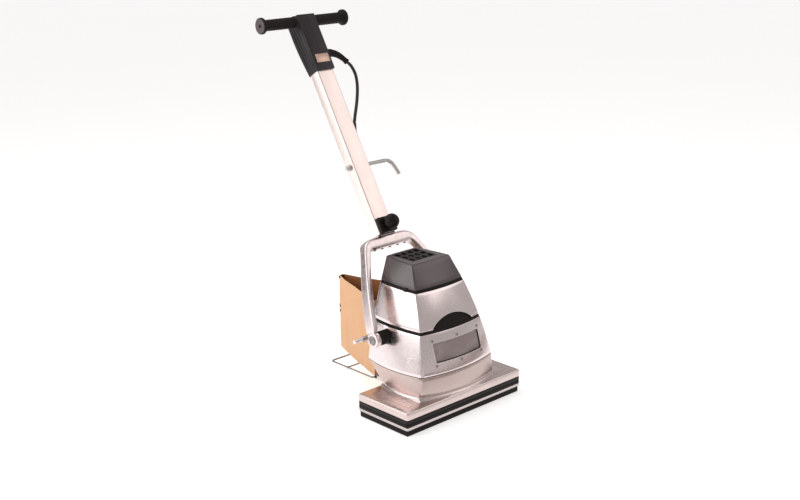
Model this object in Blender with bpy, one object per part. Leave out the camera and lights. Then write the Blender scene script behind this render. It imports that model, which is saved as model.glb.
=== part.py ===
"""Upright carpet cleaner with two counter-rotating brushes, a leaning yoke and handle, and a paper bag.

Metres, +Z up, -Y to the front, +X to the right seen from the front. The origin is the middle of the
floor area that the whole machine covers. Every piece is named after the real one.
"""

import math
from dataclasses import dataclass

import bmesh
import bpy
from mathutils import Matrix, Vector

# Fits
GAP = 0.0003             # between pieces that touch
RUNNING = 0.0008         # between a turning piece and what it turns in
SHEET_CLEARANCE = 0.0014 # between a casing and a curved sheet behind it

# Base: rings stacked on the floor, under one cast cover
BASE_WIDTH = 0.450
BASE_DEPTH = 0.198
BASE_CORNER = 0.006
SKIRT_HEIGHT = 0.018
TRIM_HEIGHT = 0.008
BUMPER_HEIGHT = 0.0215
PLATE_EDGE_HEIGHT = 0.0211
PLATE_CHAMFER = 0.003
PLATE_THICKNESS = 0.004
RING_THICKNESS = 0.0074  # of the trim and bumper rings, outside the cover's flange
SKIRT_INSET = 0.0035
FLANGE_THICKNESS = 0.0053
FLANGE_BOTTOM = 0.010    # above the floor

# Body: cast foot, window casing, upper casing, motor cap
FOOT_HEIGHT = 0.0664
LOWER_HEIGHT = 0.110
SEAM_HEIGHT = 0.008
UPPER_HEIGHT = 0.096
BAND_HEIGHT = 0.008
CAP_HEIGHT = 0.062
WALL = 0.0025
CAP_WALL = 0.003
SEAM_INSET = 0.001
FLARE_REACH = 0.006      # of the fillet round the foot
FLARE_HEIGHT = 0.012
FOOT_HALF, SKIRT_HALF, MIDDLE_HALF, BAND_HALF, TOP_HALF = 0.146, 0.1385, 0.116, 0.094, 0.073
BAND_HALF_REAR, TOP_HALF_REAR = 0.090, 0.058
FOOT_FRONT, MIDDLE_FRONT, BAND_FRONT, TOP_FRONT = -0.066, -0.040, 0.002, 0.038
FOOT_REAR, BODY_REAR, TOP_REAR = 0.090, 0.152, 0.157

# Window and finger notch in the front
WINDOW_WIDTH = 0.176
WINDOW_HEIGHT = 0.052
WINDOW_RISE = 0.032      # sill above the casing's lower edge
WINDOW_LAP = 0.013
WINDOW_THICKNESS = 0.003
SCREW_MARGIN = 0.0075    # screw centres outside the window
SCREW_HEAD, SCREW_SHANK = 0.0038, 0.0018
SCREW_HEAD_HEIGHT = 0.0016
NOTCH_CHORD = 0.150
NOTCH_RISE = 0.030
NOTCH_LAP = 0.004

# Cap vents
GRILLE_WIDTH, GRILLE_DEPTH = 0.094, 0.086
GRILLE_FRONT = 0.024     # behind the cap's front top edge
GRILLE_LIP = 0.004
VENT_COLUMNS, VENT_ROWS = 4, 3
VENT_WIDTH, VENT_DEPTH = 0.013, 0.016

# Brush drive
BRUSH_RADIUS = 0.029
BRUSH_SPACING = 0.088
BRUSH_FLOOR_CLEARANCE = 0.0025
SHAFT_RADIUS = 0.005
WORM_RADIUS = 0.0195
WHEEL_WIDTH = 0.014
GEARBOX_WALL = 0.0025
MOTOR_RADIUS, MOTOR_HEIGHT, MOTOR_NECK = 0.042, 0.117, 0.022
MOTOR_SHELL = 0.006
MOTOR_FLANGE = 0.050
END_PLATE_THICKNESS = 0.006
BRUSH_CORE_RADIUS = 0.0065

# Suction fan, its motor and the outlet to the bag
FAN_Y = 0.092
FAN_RADIUS, FAN_HEIGHT, FAN_WALL = 0.054, 0.040, 0.003
FAN_RISE = 0.061         # above the casing's lower edge
PORT_RADIUS = 0.015
VACUUM_MOTOR_RADIUS, VACUUM_MOTOR_HEIGHT = 0.040, 0.104
OUTLET_RADIUS, OUTLET_WALL, OUTLET_REACH = 0.024, 0.003, 0.032

# Yoke: two arms that carry the handle over the cap
LEAN = math.radians(30.5)
PIVOT_Y = 0.077
PIVOT_DROP = 0.026       # below the casing's upper edge
PIVOT_HALF = 0.180
ARM_THICKNESS = 0.016
PADDLE_RADIUS = 0.0215
PIVOT_RADIUS = 0.008
BOSS_RADIUS, BOSS_INNER = 0.020, 0.112
BOSS_GAP = 0.0045        # between a boss and its arm
CAP_CLEARANCE = 0.0252   # under the crossbar as it swings over the cap
CROSSBAR_HEIGHT = 0.037
CROSSBAR_HALF = 0.080
ARM_DEPTH_TOP, ARM_DEPTH_LOW = 0.030, 0.040
SPIGOT_LENGTH = 0.160

# Handle tube and what is on it
TUBE_WIDTH, TUBE_DEPTH, TUBE_WALL = 0.060, 0.038, 0.003
TUBE_FRONT = 0.006       # front face ahead of the pivot
TUBE_LENGTH = 0.625
SLIDE = 0.100
BLOCK_HEIGHT, BLOCK_DEPTH = 0.046, 0.014
KNOB_RADIUS, KNOB_STEM, KNOB_SCREW = 0.022, 0.010, 0.004
HOOK_RISE, HOOK_ROD = 0.215, 0.0060
HOOK_REACH, HOOK_LEG_OUT, HOOK_LEG_DOWN = 0.092, 0.019, 0.049
HOOK_NUT = 0.009

# Switch housing, bar and grips
HOUSING_WIDTH = TUBE_WIDTH + 0.006
HOUSING_BOTTOM, HOUSING_HEIGHT = 0.513, 0.179
HOUSING_WALL = 0.004
BAR_RISE = 0.677
BAR_RADIUS, BAR_WALL = 0.011, 0.002
GRIP_RADIUS, GRIP_FLANGE, GRIP_FLANGE_LENGTH = 0.0165, 0.024, 0.007
GRIP_SPAN = 0.317
SWITCH_WIDTH, SWITCH_DEPTH, SWITCH_HEIGHT = 0.030, 0.018, 0.014
SWITCH_POCKET = 0.0095
PLATE_WIDTH, PLATE_HEIGHT, PLATE_SHEET = 0.048, 0.026, 0.001
SWITCH_PLACE = 0.028     # rocker's middle behind the pivot, behind the bar

# Handle cord, in the handle's own axes: out from the tube's side, behind, and up from its foot
CORD_RADIUS = 0.0048
BOOT_ROUTE = ((0.0034, 0.002, 0.566), (0.020, 0.002, 0.566), (0.040, 0.002, 0.559),
              (0.056, 0.002, 0.546), (0.068, 0.002, 0.531))
BOOT_RADII = (0.013, 0.0125, 0.0105, 0.009, 0.0075)
CORD_ROUTE = ((0.0683, 0.002, 0.5306), (0.0755, 0.002, 0.5216), (0.0800, 0.002, 0.508),
              (0.0815, 0.002, 0.490), (0.0785, 0.003, 0.470), (0.0715, 0.004, 0.448),
              (0.0615, 0.005, 0.426), (0.0505, 0.007, 0.404), (0.040, 0.009, 0.385),
              (0.0305, 0.0105, 0.369), (0.0225, 0.0109, 0.3555), (0.0155, 0.0112, 0.3436))
GLAND_BASE, GLAND_TIP = (-0.004, 0.012, 0.3105), (0.0153, 0.0112, 0.3432)

# Lock plunger
PLUNGER_Y, PLUNGER_DROP = 0.114, 0.031
PLUNGER_RADIUS, PLUNGER_TIP = 0.0055, 0.222
GUIDE_RADIUS, GUIDE_OUTER, GUIDE_INNER = 0.008, 0.196, 0.118

# Bag and its wire rack
RACK_HALF, RACK_WIRE = 0.110, 0.0025
RACK_HINGE_Y, RACK_Z = 0.165, 0.062
RACK_LENGTH, RACK_BAR = 0.183, 0.110
BRACKET_X, BRACKET_WIDTH, BRACKET_HEIGHT = 0.095, 0.010, 0.012
BAG_X, BAG_FRONT, BAG_HALF = -0.018, 0.158, 0.091
BAG_LENGTH, BAG_REAR_HALF, BAG_HEIGHT, BAG_WALL = 0.247, 0.006, 0.228, 0.0018
BAG_CLEARANCE = 0.0015

# Heights that follow from the sizes above
PLATE_TOP = SKIRT_HEIGHT + TRIM_HEIGHT + BUMPER_HEIGHT + PLATE_EDGE_HEIGHT
SKIRT_TOP = PLATE_TOP + FOOT_HEIGHT
SEAM_LOW = SKIRT_TOP + LOWER_HEIGHT
SEAM_TOP = SEAM_LOW + SEAM_HEIGHT
BAND_LOW = SEAM_TOP + UPPER_HEIGHT
BAND_TOP = BAND_LOW + BAND_HEIGHT
CAP_TOP = BAND_TOP + CAP_HEIGHT
PIVOT_Z = SEAM_LOW - PIVOT_DROP
BRUSH_Z = BRUSH_FLOOR_CLEARANCE + BRUSH_RADIUS
GEARBOX_WIDTH = 2 * (WORM_RADIUS + RUNNING + GEARBOX_WALL)
FAN_LOW = SKIRT_TOP + FAN_RISE
CROSSBAR_LOW = math.hypot(TOP_REAR - PIVOT_Y, CAP_TOP - PIVOT_Z) + CAP_CLEARANCE
TUBE_LOW = CROSSBAR_LOW + CROSSBAR_HEIGHT
TUBE_BACK = TUBE_DEPTH / 2 - TUBE_FRONT     # tube's middle behind the pivot
HOUSING_REAR_BULGE = 0.012
HOUSING_FRONT = TUBE_FRONT + 0.008
HOUSING_REAR = TUBE_DEPTH - TUBE_FRONT + HOUSING_WALL
BAR_BACK = 0.010


@dataclass(frozen=True)
class Station:
    """Plan of the body at one height: a four-sided outline with bulged front and sides."""

    z: float
    half_front: float
    half_rear: float
    front: float
    rear: float
    front_bulge: float
    side_bulge: float


FOOT = Station(PLATE_TOP, FOOT_HALF, FOOT_HALF - 0.012, FOOT_FRONT, FOOT_REAR, 0.024, 0.012)
SKIRT = Station(SKIRT_TOP, SKIRT_HALF, SKIRT_HALF, FOOT_FRONT, BODY_REAR, 0.022, 0.018)
MIDDLE = Station(SEAM_LOW + SEAM_HEIGHT / 2, MIDDLE_HALF, MIDDLE_HALF, MIDDLE_FRONT, BODY_REAR, 0.015, 0.011)
BAND = Station(BAND_LOW, BAND_HALF, BAND_HALF_REAR, BAND_FRONT, BODY_REAR - 0.002, 0.010, 0.005)
TOP = Station(CAP_TOP, TOP_HALF, TOP_HALF_REAR, TOP_FRONT, TOP_REAR, 0.004, 0.002)
FIELDS = ("half_front", "half_rear", "front", "rear", "front_bulge", "side_bulge")


def station_at(z):
    """The body's plan at any height: straight below the skirt and above the band, curved between."""
    if z <= SKIRT.z:
        known = (FOOT, SKIRT)
    elif z >= BAND.z:
        known = (BAND, TOP)
    else:
        known = (SKIRT, MIDDLE, BAND)
    weights = []
    for one in known:
        weight = 1.0
        for other in known:
            if other is not one:
                weight *= (z - other.z) / (one.z - other.z)
        weights.append(weight)
    return Station(z, *(sum(w * getattr(s, field) for w, s in zip(weights, known)) for field in FIELDS))


def body_ring(z, inset=0.0, level=None, corner=0.02):
    """Closed outline of the body at height z, moved inwards by inset and drawn at height level."""
    plan = station_at(z)
    front, rear = plan.front + inset, plan.rear - inset
    half_front, half_rear = plan.half_front - inset, plan.half_rear - inset
    edges = (((-half_front, front), (half_front, front), plan.front_bulge, 10),
             ((half_front, front), (half_rear, rear), plan.side_bulge, 8),
             ((half_rear, rear), (-half_rear, rear), 0.002, 4),
             ((-half_rear, rear), (-half_front, front), plan.side_bulge, 8))
    ring = []
    for start, end, bulge, steps in edges:
        start, end = Vector(start), Vector(end)
        outward = Vector((end.y - start.y, start.x - end.x)).normalized()
        for step in range(steps + 1):
            t = corner + (1 - 2 * corner) * step / steps
            point = start.lerp(end, t) + outward * bulge * 4 * t * (1 - t)
            ring.append(Vector((point.x, point.y, z if level is None else level)))
    return ring


def front_point(x, z, inset=0.0):
    """Point of the body's front face at x and z, moved inwards by inset."""
    plan = station_at(z)
    bulge = plan.front_bulge * (1 - (x / plan.half_front) ** 2)
    return Vector((x, plan.front + inset - bulge, z))


def front_normal(x, z):
    """Outward direction of the front face at x and z."""
    step = 0.001
    across = front_point(x + step, z) - front_point(x - step, z)
    up = front_point(x, z + step) - front_point(x, z - step)
    return across.cross(up).normalized()


def rectangle_ring(half_x, half_y, z, corner=BASE_CORNER, centre=(0.0, 0.0), steps=2):
    """Rectangle with rounded corners at one height."""
    corner = max(corner, 0.0005)
    ring = []
    for index, (sx, sy) in enumerate(((1, 1), (-1, 1), (-1, -1), (1, -1))):
        middle = Vector((centre[0] + sx * (half_x - corner), centre[1] + sy * (half_y - corner)))
        for step in range(steps + 1):
            angle = math.pi / 2 * (index + step / steps)
            ring.append(Vector((middle.x + corner * math.cos(angle), middle.y + corner * math.sin(angle), z)))
    return ring


def circle_ring(radius, z, sides):
    """Regular ring of points round Z."""
    return [Vector((radius * math.cos(2 * math.pi * k / sides),
                    radius * math.sin(2 * math.pi * k / sides), z))
            for k in range(sides)]


def skin(bm, rings, looped=False):
    """Faces from ring to ring, with a cap on each end, or joined end to start when looped."""
    rows = [[bm.verts.new(point) for point in ring] for ring in rings]
    pairs = list(zip(rows, rows[1:] + rows[:1] if looped else rows[1:]))
    made = []
    for low, high in pairs:
        for k in range(len(low)):
            after = (k + 1) % len(low)
            made.append(bm.faces.new((low[k], low[after], high[after], high[k])))
    if not looped:
        made.append(bm.faces.new(rows[0]))
        made.append(bm.faces.new(rows[-1]))
    bmesh.ops.recalc_face_normals(bm, faces=made)


def turned(bm, profile, sides=24, matrix=Matrix(), looped=False):
    """Turned shape from (radius, height) points, solid or, when looped, a ring."""
    skin(bm, [[matrix @ point for point in circle_ring(radius, z, sides)] for radius, z in profile], looped)


def along(axis, origin=(0, 0, 0)):
    """Matrix that lays a shape drawn along Z along another axis, from an origin."""
    turns = {"X": Matrix.Rotation(math.pi / 2, 4, "Y"), "-X": Matrix.Rotation(-math.pi / 2, 4, "Y"),
             "Y": Matrix.Rotation(-math.pi / 2, 4, "X"), "-Y": Matrix.Rotation(math.pi / 2, 4, "X"),
             "Z": Matrix()}
    return Matrix.Translation(origin) @ turns[axis]


def towards(direction, origin):
    """Matrix that lays a shape drawn along Z along any direction, from an origin."""
    return Matrix.Translation(origin) @ Vector(direction).to_track_quat("Z", "Y").to_matrix().to_4x4()


def box(bm, low, high):
    """Box between two corners."""
    (x0, y0, z0), (x1, y1, z1) = low, high
    skin(bm, [[Vector((x, y, z)) for x, y in ((x0, y0), (x1, y0), (x1, y1), (x0, y1))] for z in (z0, z1)])


def sweep(bm, points, radii, sides=10, looped=False):
    """Round wire through points, whose radius may change along it."""
    points = [Vector(point) for point in points]
    count = len(points)
    radii = radii if isinstance(radii, (list, tuple)) else [radii] * count
    rings, reference = [], None
    for k, point in enumerate(points):
        before = points[k - 1] if k or looped else point
        after = points[(k + 1) % count] if k + 1 < count or looped else point
        into, out = (point - before), (after - point)
        tangent = (into.normalized() + out.normalized()).normalized() if into.length and out.length else (
            into if into.length else out).normalized()
        if reference is None:
            reference = tangent.orthogonal().normalized()
        reference = (reference - tangent * reference.dot(tangent)).normalized()
        side = tangent.cross(reference)
        rings.append([point + radii[k] * (reference * math.cos(a) + side * math.sin(a))
                      for a in (2 * math.pi * s / sides for s in range(sides))])
    skin(bm, rings, looped)


def clear_scene():
    """Takes away everything that is in the scene."""
    for obj in list(bpy.data.objects):
        bpy.data.objects.remove(obj, do_unlink=True)


def material(name, colour, roughness, metallic=0.0):
    """Principled material of one finish."""
    made = bpy.data.materials.get(name)
    if made:
        return made
    made = bpy.data.materials.new(name)
    made.use_nodes = True
    shader = made.node_tree.nodes["Principled BSDF"]
    shader.inputs["Base Color"].default_value = (*colour, 1.0)
    shader.inputs["Roughness"].default_value = roughness
    shader.inputs["Metallic"].default_value = metallic
    made.diffuse_color = (*colour, 1.0)
    return made


FINISHES = {
    "stainless": ((0.78, 0.74, 0.73), 0.28, 1.0), "cast_alloy": ((0.72, 0.68, 0.68), 0.38, 1.0),
    "aluminium": ((0.86, 0.82, 0.81), 0.25, 1.0), "steel": ((0.62, 0.60, 0.60), 0.3, 1.0),
    "grey_plastic": ((0.10, 0.085, 0.088), 0.45, 0.0), "black_plastic": ((0.015, 0.013, 0.013), 0.4, 0.0),
    "rubber": ((0.02, 0.018, 0.017), 0.7, 0.0), "smoked": ((0.30, 0.26, 0.26), 0.25, 0.0),
    "kraft": ((0.80, 0.52, 0.26), 0.85, 0.0), "bristle": ((0.06, 0.05, 0.045), 0.9, 0.0),
    "copper": ((0.55, 0.27, 0.14), 0.4, 1.0), "bronze": ((0.55, 0.40, 0.18), 0.35, 1.0)}


def piece(name, finish, parent, bm, smooth=35):
    """Object from a finished bmesh, under its parent empty."""
    mesh = bpy.data.meshes.new(name)
    bm.to_mesh(mesh)
    bm.free()
    mesh.shade_smooth()
    mesh.set_sharp_from_angle(angle=math.radians(smooth))
    mesh.materials.append(material(finish, *FINISHES[finish]))
    obj = bpy.data.objects.new(name, mesh)
    obj.parent = parent
    bpy.context.scene.collection.objects.link(obj)
    return obj


def combine(obj, operation, bm):
    """Boolean of obj with the shapes in bm, which stay in the scene as a hidden tool."""
    tool = piece(f"{obj.name}_tool_{len(obj.modifiers)}", "steel", obj.parent, bm)
    tool.hide_render = True
    tool.display_type = "WIRE"
    modifier = obj.modifiers.new(tool.name, "BOOLEAN")
    modifier.operation = operation
    modifier.solver = "EXACT"
    modifier.object = tool


def group(name, parent=None, location=(0, 0, 0), lean=0.0):
    """Empty that carries the pieces of one body, on its joint's axis where it has one."""
    empty = bpy.data.objects.new(name, None)
    empty.empty_display_size = 0.05
    empty.parent = parent
    empty.location = location
    empty.rotation_euler = (-lean, 0, 0)
    bpy.context.scene.collection.objects.link(empty)
    return empty


def base_ring(name, finish, parent, profile):
    """Ring round the base from (inset, height) points."""
    bm = bmesh.new()
    skin(bm, [rectangle_ring(BASE_WIDTH / 2 - inset, BASE_DEPTH / 2 - inset, z, BASE_CORNER - inset)
              for inset, z in profile], looped=True)
    return piece(name, finish, parent, bm)


def gearbox_half_depth():
    """Half depth of the gearbox outside its walls."""
    return BRUSH_SPACING / 2 + wheel_radius() + RUNNING + GEARBOX_WALL


def wheel_radius():
    """Worm wheel that reaches from its shaft to the worm."""
    return BRUSH_SPACING / 2 - WORM_RADIUS - GAP


def build_base(root):
    """Cover, bumper, trim strip and floor skirt."""
    edge_low = PLATE_TOP - PLATE_EDGE_HEIGHT
    flange = RING_THICKNESS + GAP
    inside = flange + FLANGE_THICKNESS
    under = PLATE_TOP - PLATE_THICKNESS
    bm = bmesh.new()
    profile = ((inside, under), (inside, FLANGE_BOTTOM), (flange, FLANGE_BOTTOM), (flange, edge_low + GAP),
               (0.0, edge_low + GAP), (0.0, PLATE_TOP - PLATE_CHAMFER), (PLATE_CHAMFER, PLATE_TOP))
    skin(bm, [rectangle_ring(BASE_WIDTH / 2 - inset, BASE_DEPTH / 2 - inset, z, BASE_CORNER - inset)
              for inset, z in profile])
    cover = piece("base_cover", "cast_alloy", root, bm)
    flare = bmesh.new()
    skin(flare, [body_ring(PLATE_TOP, -FLARE_REACH, PLATE_TOP - PLATE_THICKNESS / 2),
                 body_ring(PLATE_TOP, -FLARE_REACH, PLATE_TOP + 0.0004),
                 body_ring(PLATE_TOP, -FLARE_REACH / 3, PLATE_TOP + FLARE_HEIGHT / 4),
                 body_ring(PLATE_TOP + FLARE_HEIGHT, 0.0005)])
    combine(cover, "UNION", flare)
    well = bmesh.new()
    skin(well, [body_ring(PLATE_TOP, WALL + FLARE_REACH, PLATE_TOP + GAP),
                body_ring(PLATE_TOP + FLARE_HEIGHT, WALL + 0.004, PLATE_TOP + FLARE_HEIGHT + 0.01)])
    combine(cover, "DIFFERENCE", well)
    neck = bmesh.new()
    turned(neck, ((MOTOR_NECK + GAP, under - 0.02), (MOTOR_NECK + GAP, PLATE_TOP + 0.02)), 32)
    combine(cover, "DIFFERENCE", neck)
    base_ring("bumper_band", "black_plastic", root,
              ((0, SKIRT_HEIGHT + TRIM_HEIGHT + GAP), (0, edge_low), (RING_THICKNESS, edge_low),
               (RING_THICKNESS, SKIRT_HEIGHT + TRIM_HEIGHT + GAP)))
    base_ring("trim_strip", "aluminium", root,
              ((0, SKIRT_HEIGHT + GAP), (0, SKIRT_HEIGHT + TRIM_HEIGHT),
               (RING_THICKNESS, SKIRT_HEIGHT + TRIM_HEIGHT), (RING_THICKNESS, SKIRT_HEIGHT + GAP)))
    base_ring("floor_skirt", "rubber", root,
              ((SKIRT_INSET, 0), (SKIRT_INSET, SKIRT_HEIGHT), (RING_THICKNESS, SKIRT_HEIGHT),
               (RING_THICKNESS, FLANGE_BOTTOM - GAP), (inside, FLANGE_BOTTOM - GAP), (inside, 0)))


def build_casings(root):
    """The body's pressed shells, their gaskets, and the cap with its grille."""
    foot_low = PLATE_TOP + FLARE_HEIGHT + GAP
    shell("skirt_casing", "cast_alloy", root, (foot_low, SKIRT_TOP), WALL)
    lower = shell("lower_casing", "stainless", root,
                  [SKIRT_TOP + GAP + (LOWER_HEIGHT - GAP) * k / 3 for k in range(4)], WALL)
    shell("seam_gasket", "rubber", root, (SEAM_LOW + GAP, SEAM_TOP - GAP), WALL + 0.003, SEAM_INSET)
    upper = shell("upper_casing", "stainless", root,
                  [SEAM_TOP + UPPER_HEIGHT * k / 3 for k in range(4)], WALL)
    shell("cap_gasket", "rubber", root, (BAND_LOW + GAP, BAND_TOP - GAP), WALL + 0.003, SEAM_INSET / 2)
    build_window(root, lower)
    build_notch(root, upper)
    build_side_holes(lower)
    build_cap(root)


def shell(name, finish, root, levels, wall, inset=0.0):
    """Open shell of the body between heights."""
    bm = bmesh.new()
    skin(bm, [body_ring(z, inset) for z in levels] + [body_ring(z, inset + wall) for z in reversed(levels)],
         looped=True)
    return piece(name, finish, root, bm)


def patch(bm, columns, low, high, outer, inner, rows=2):
    """Curved sheet behind the front face, between the heights low(x) and high(x)."""
    rings = []
    for x in columns:
        levels = [low(x) + (high(x) - low(x)) * k / rows for k in range(rows + 1)]
        rings.append([front_point(x, z, outer) for z in levels]
                     + [front_point(x, z, inner) for z in reversed(levels)])
    skin(bm, rings)


def spread(half, count):
    """Evenly spaced values from -half to half."""
    return [-half + 2 * half * k / (count - 1) for k in range(count)]


def build_window(root, lower):
    """Smoked window behind the casing, its opening and its six screws."""
    sill = SKIRT_TOP + WINDOW_RISE
    head = sill + WINDOW_HEIGHT
    half = WINDOW_WIDTH / 2
    opening = bmesh.new()
    box(opening, (-half, FOOT_FRONT - 0.1, sill), (half, MIDDLE_FRONT + 0.02, head))
    combine(lower, "DIFFERENCE", opening)
    bm = bmesh.new()
    back = WALL + SHEET_CLEARANCE
    patch(bm, spread(half + WINDOW_LAP, 9), lambda x: sill - WINDOW_LAP, lambda x: head + WINDOW_LAP,
          back, back + WINDOW_THICKNESS)
    window = piece("window_panel", "smoked", root, bm)
    holes = {"window": bmesh.new(), "casing": bmesh.new()}
    places = [(x, z) for z in (sill - SCREW_MARGIN, head + SCREW_MARGIN)
              for x in (-half, 0.0, half)]
    for number, (x, z) in enumerate(places, 1):
        frame = towards(front_normal(x, z), front_point(x, z))
        depth = WALL + WINDOW_THICKNESS + 0.004
        for bore in holes.values():
            turned(bore, ((SCREW_SHANK + GAP, -depth - 0.002), (SCREW_SHANK + GAP, 0.003)), 8, frame)
        bm = bmesh.new()
        rise = 0.0006
        turned(bm, ((SCREW_SHANK, -depth), (SCREW_SHANK, rise), (SCREW_HEAD, rise),
                    (SCREW_HEAD, rise + SCREW_HEAD_HEIGHT / 2),
                    (SCREW_HEAD / 2, rise + SCREW_HEAD_HEIGHT)), 8, frame)
        piece(f"window_screw_{number}", "steel", root, bm)
    combine(window, "DIFFERENCE", holes["window"])
    combine(lower, "DIFFERENCE", holes["casing"])


def build_notch(root, upper):
    """Arched finger notch in the upper casing and the black liner behind it."""
    radius = ((NOTCH_CHORD / 2) ** 2 + NOTCH_RISE ** 2) / (2 * NOTCH_RISE)
    middle_z = SEAM_TOP + NOTCH_RISE - radius
    cutter = bmesh.new()
    turned(cutter, ((radius, 0), (radius, 0.12)), 64, along("Y", (0, MIDDLE_FRONT - 0.08, middle_z)))
    combine(upper, "DIFFERENCE", cutter)
    lap = radius + NOTCH_LAP
    bm = bmesh.new()
    back = WALL + SHEET_CLEARANCE
    patch(bm, spread(NOTCH_CHORD / 2, 11), lambda x: SEAM_TOP + GAP,
          lambda x: middle_z + math.sqrt(lap ** 2 - x ** 2), back, back + WALL)
    piece("finger_notch_liner", "black_plastic", root, bm)


def build_side_holes(lower):
    """Holes in the window casing for the pivot bosses, the plunger guide and the outlet."""
    cutter = bmesh.new()
    turned(cutter, ((BOSS_RADIUS + GAP, -0.2), (BOSS_RADIUS + GAP, 0.2)), 24,
           along("X", (0, PIVOT_Y, PIVOT_Z)))
    turned(cutter, ((GUIDE_RADIUS + GAP, 0.1), (GUIDE_RADIUS + GAP, 0.2)), 16,
           along("-X", (0, PLUNGER_Y, SEAM_LOW - PLUNGER_DROP)))
    combine(lower, "DIFFERENCE", cutter)
    outlet = bmesh.new()
    turned(outlet, ((OUTLET_RADIUS + GAP, 0), (OUTLET_RADIUS + GAP, 0.05)), 24,
           along("Y", (0, BODY_REAR - 0.03, FAN_LOW + FAN_HEIGHT / 2)))
    combine(lower, "DIFFERENCE", outlet)


def build_cap(root):
    """Tapered motor cap, and the vent grille let into its top."""
    bm = bmesh.new()
    edge = 0.003
    skin(bm, [body_ring(CAP_TOP - CAP_WALL, CAP_WALL), body_ring(BAND_TOP, CAP_WALL), body_ring(BAND_TOP),
              body_ring(CAP_TOP - edge), body_ring(CAP_TOP, edge)])
    cap = piece("motor_cap", "grey_plastic", root, bm)
    front = TOP_FRONT + GRILLE_FRONT
    half, rear = GRILLE_WIDTH / 2, front + GRILLE_DEPTH
    opening = bmesh.new()
    box(opening, (-half - GAP, front - GAP, CAP_TOP - 0.01), (half + GAP, rear + GAP, CAP_TOP + 0.01))
    combine(cap, "DIFFERENCE", opening)
    bm = bmesh.new()
    low, lip_top = CAP_TOP - CAP_WALL - GAP - 0.002, CAP_TOP - CAP_WALL - GAP
    skin(bm, [rectangle_ring(half + grow, GRILLE_DEPTH / 2 + grow, z, 0.003, (0, (front + rear) / 2), 1)
              for grow, z in ((GRILLE_LIP, low), (GRILLE_LIP, lip_top), (0, lip_top), (0, CAP_TOP - 0.0008))])
    grille = piece("vent_grille", "black_plastic", root, bm)
    slots = bmesh.new()
    for row in range(VENT_ROWS):
        for column in range(VENT_COLUMNS):
            x = GRILLE_WIDTH * ((column + 0.5) / VENT_COLUMNS - 0.5)
            y = front + GRILLE_DEPTH * (row + 0.5) / VENT_ROWS
            box(slots, (x - VENT_WIDTH / 2, y - VENT_DEPTH / 2, low - 0.005),
                (x + VENT_WIDTH / 2, y + VENT_DEPTH / 2, CAP_TOP + 0.005))
    combine(grille, "DIFFERENCE", slots)


def build_brush_drive(root):
    """Gearbox, end plates, motor, and the two brushes on their shafts."""
    under = PLATE_TOP - PLATE_THICKNESS - GAP
    half, depth = GEARBOX_WIDTH / 2, gearbox_half_depth()
    low = BRUSH_Z - wheel_radius() - RUNNING - GEARBOX_WALL
    bm = bmesh.new()
    skin(bm, [rectangle_ring(half - GEARBOX_WALL, depth - GEARBOX_WALL, low + GEARBOX_WALL, 0.002),
              rectangle_ring(half - GEARBOX_WALL, depth - GEARBOX_WALL, under, 0.002),
              rectangle_ring(half, depth, under, 0.004), rectangle_ring(half, depth, low, 0.004)])
    gearbox = piece("gearbox_housing", "cast_alloy", root, bm)
    end_x = BASE_WIDTH / 2 - RING_THICKNESS - FLANGE_THICKNESS - 2 * GAP - END_PLATE_THICKNESS
    bores = bmesh.new()
    for side in (-1, 1):
        turned(bores, ((SHAFT_RADIUS + GAP, -BASE_WIDTH), (SHAFT_RADIUS + GAP, BASE_WIDTH)), 16,
               along("X", (0, side * BRUSH_SPACING / 2, BRUSH_Z)))
    combine(gearbox, "DIFFERENCE", bores)
    for side, name in ((-1, "left"), (1, "right")):
        bm = bmesh.new()
        inner, outer = sorted((side * end_x, side * (end_x + END_PLATE_THICKNESS)))
        box(bm, (inner, -gearbox_half_depth(), BRUSH_Z - 0.012), (outer, gearbox_half_depth(), under))
        plate = piece(f"end_plate_{name}", "steel", root, bm)
        holes = bmesh.new()
        for y in (-BRUSH_SPACING / 2, BRUSH_SPACING / 2):
            turned(holes, ((SHAFT_RADIUS + GAP, side * end_x - 0.02),
                           (SHAFT_RADIUS + GAP, side * end_x + 0.02)),
                   16, along("X", (0, y, BRUSH_Z)))
        combine(plate, "DIFFERENCE", holes)
    for side, name in ((-1, "front"), (1, "rear")):
        build_brush(root, name, side * BRUSH_SPACING / 2, end_x)
    build_brush_motor(root)


def build_brush(root, name, y, end_x):
    """One brush: its shaft with the worm wheel, and a bristled roll on each side of the gearbox."""
    body = group(f"brush_{name}_axis", root, (0, y, BRUSH_Z))
    bm = bmesh.new()
    shaft_half, wheel = end_x + END_PLATE_THICKNESS - GAP, WHEEL_WIDTH / 2
    turned(bm, ((SHAFT_RADIUS, -shaft_half), (SHAFT_RADIUS, -wheel), (wheel_radius(), -wheel),
                (wheel_radius(), wheel), (SHAFT_RADIUS, wheel), (SHAFT_RADIUS, shaft_half)), 24, along("X"))
    piece(f"brush_shaft_{name}", "steel", body, bm)
    for side, hand in ((-1, "left"), (1, "right")):
        start, end = GEARBOX_WIDTH / 2 + RUNNING, end_x - RUNNING
        bm = bmesh.new()
        turned(bm, ((SHAFT_RADIUS + GAP, start), (BRUSH_CORE_RADIUS, start), (BRUSH_RADIUS, start),
                    (BRUSH_RADIUS, end), (BRUSH_CORE_RADIUS, end), (SHAFT_RADIUS + GAP, end)), 24,
               along("X" if side > 0 else "-X"), looped=True)
        piece(f"brush_{name}_{hand}", "bristle", body, bm)


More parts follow.
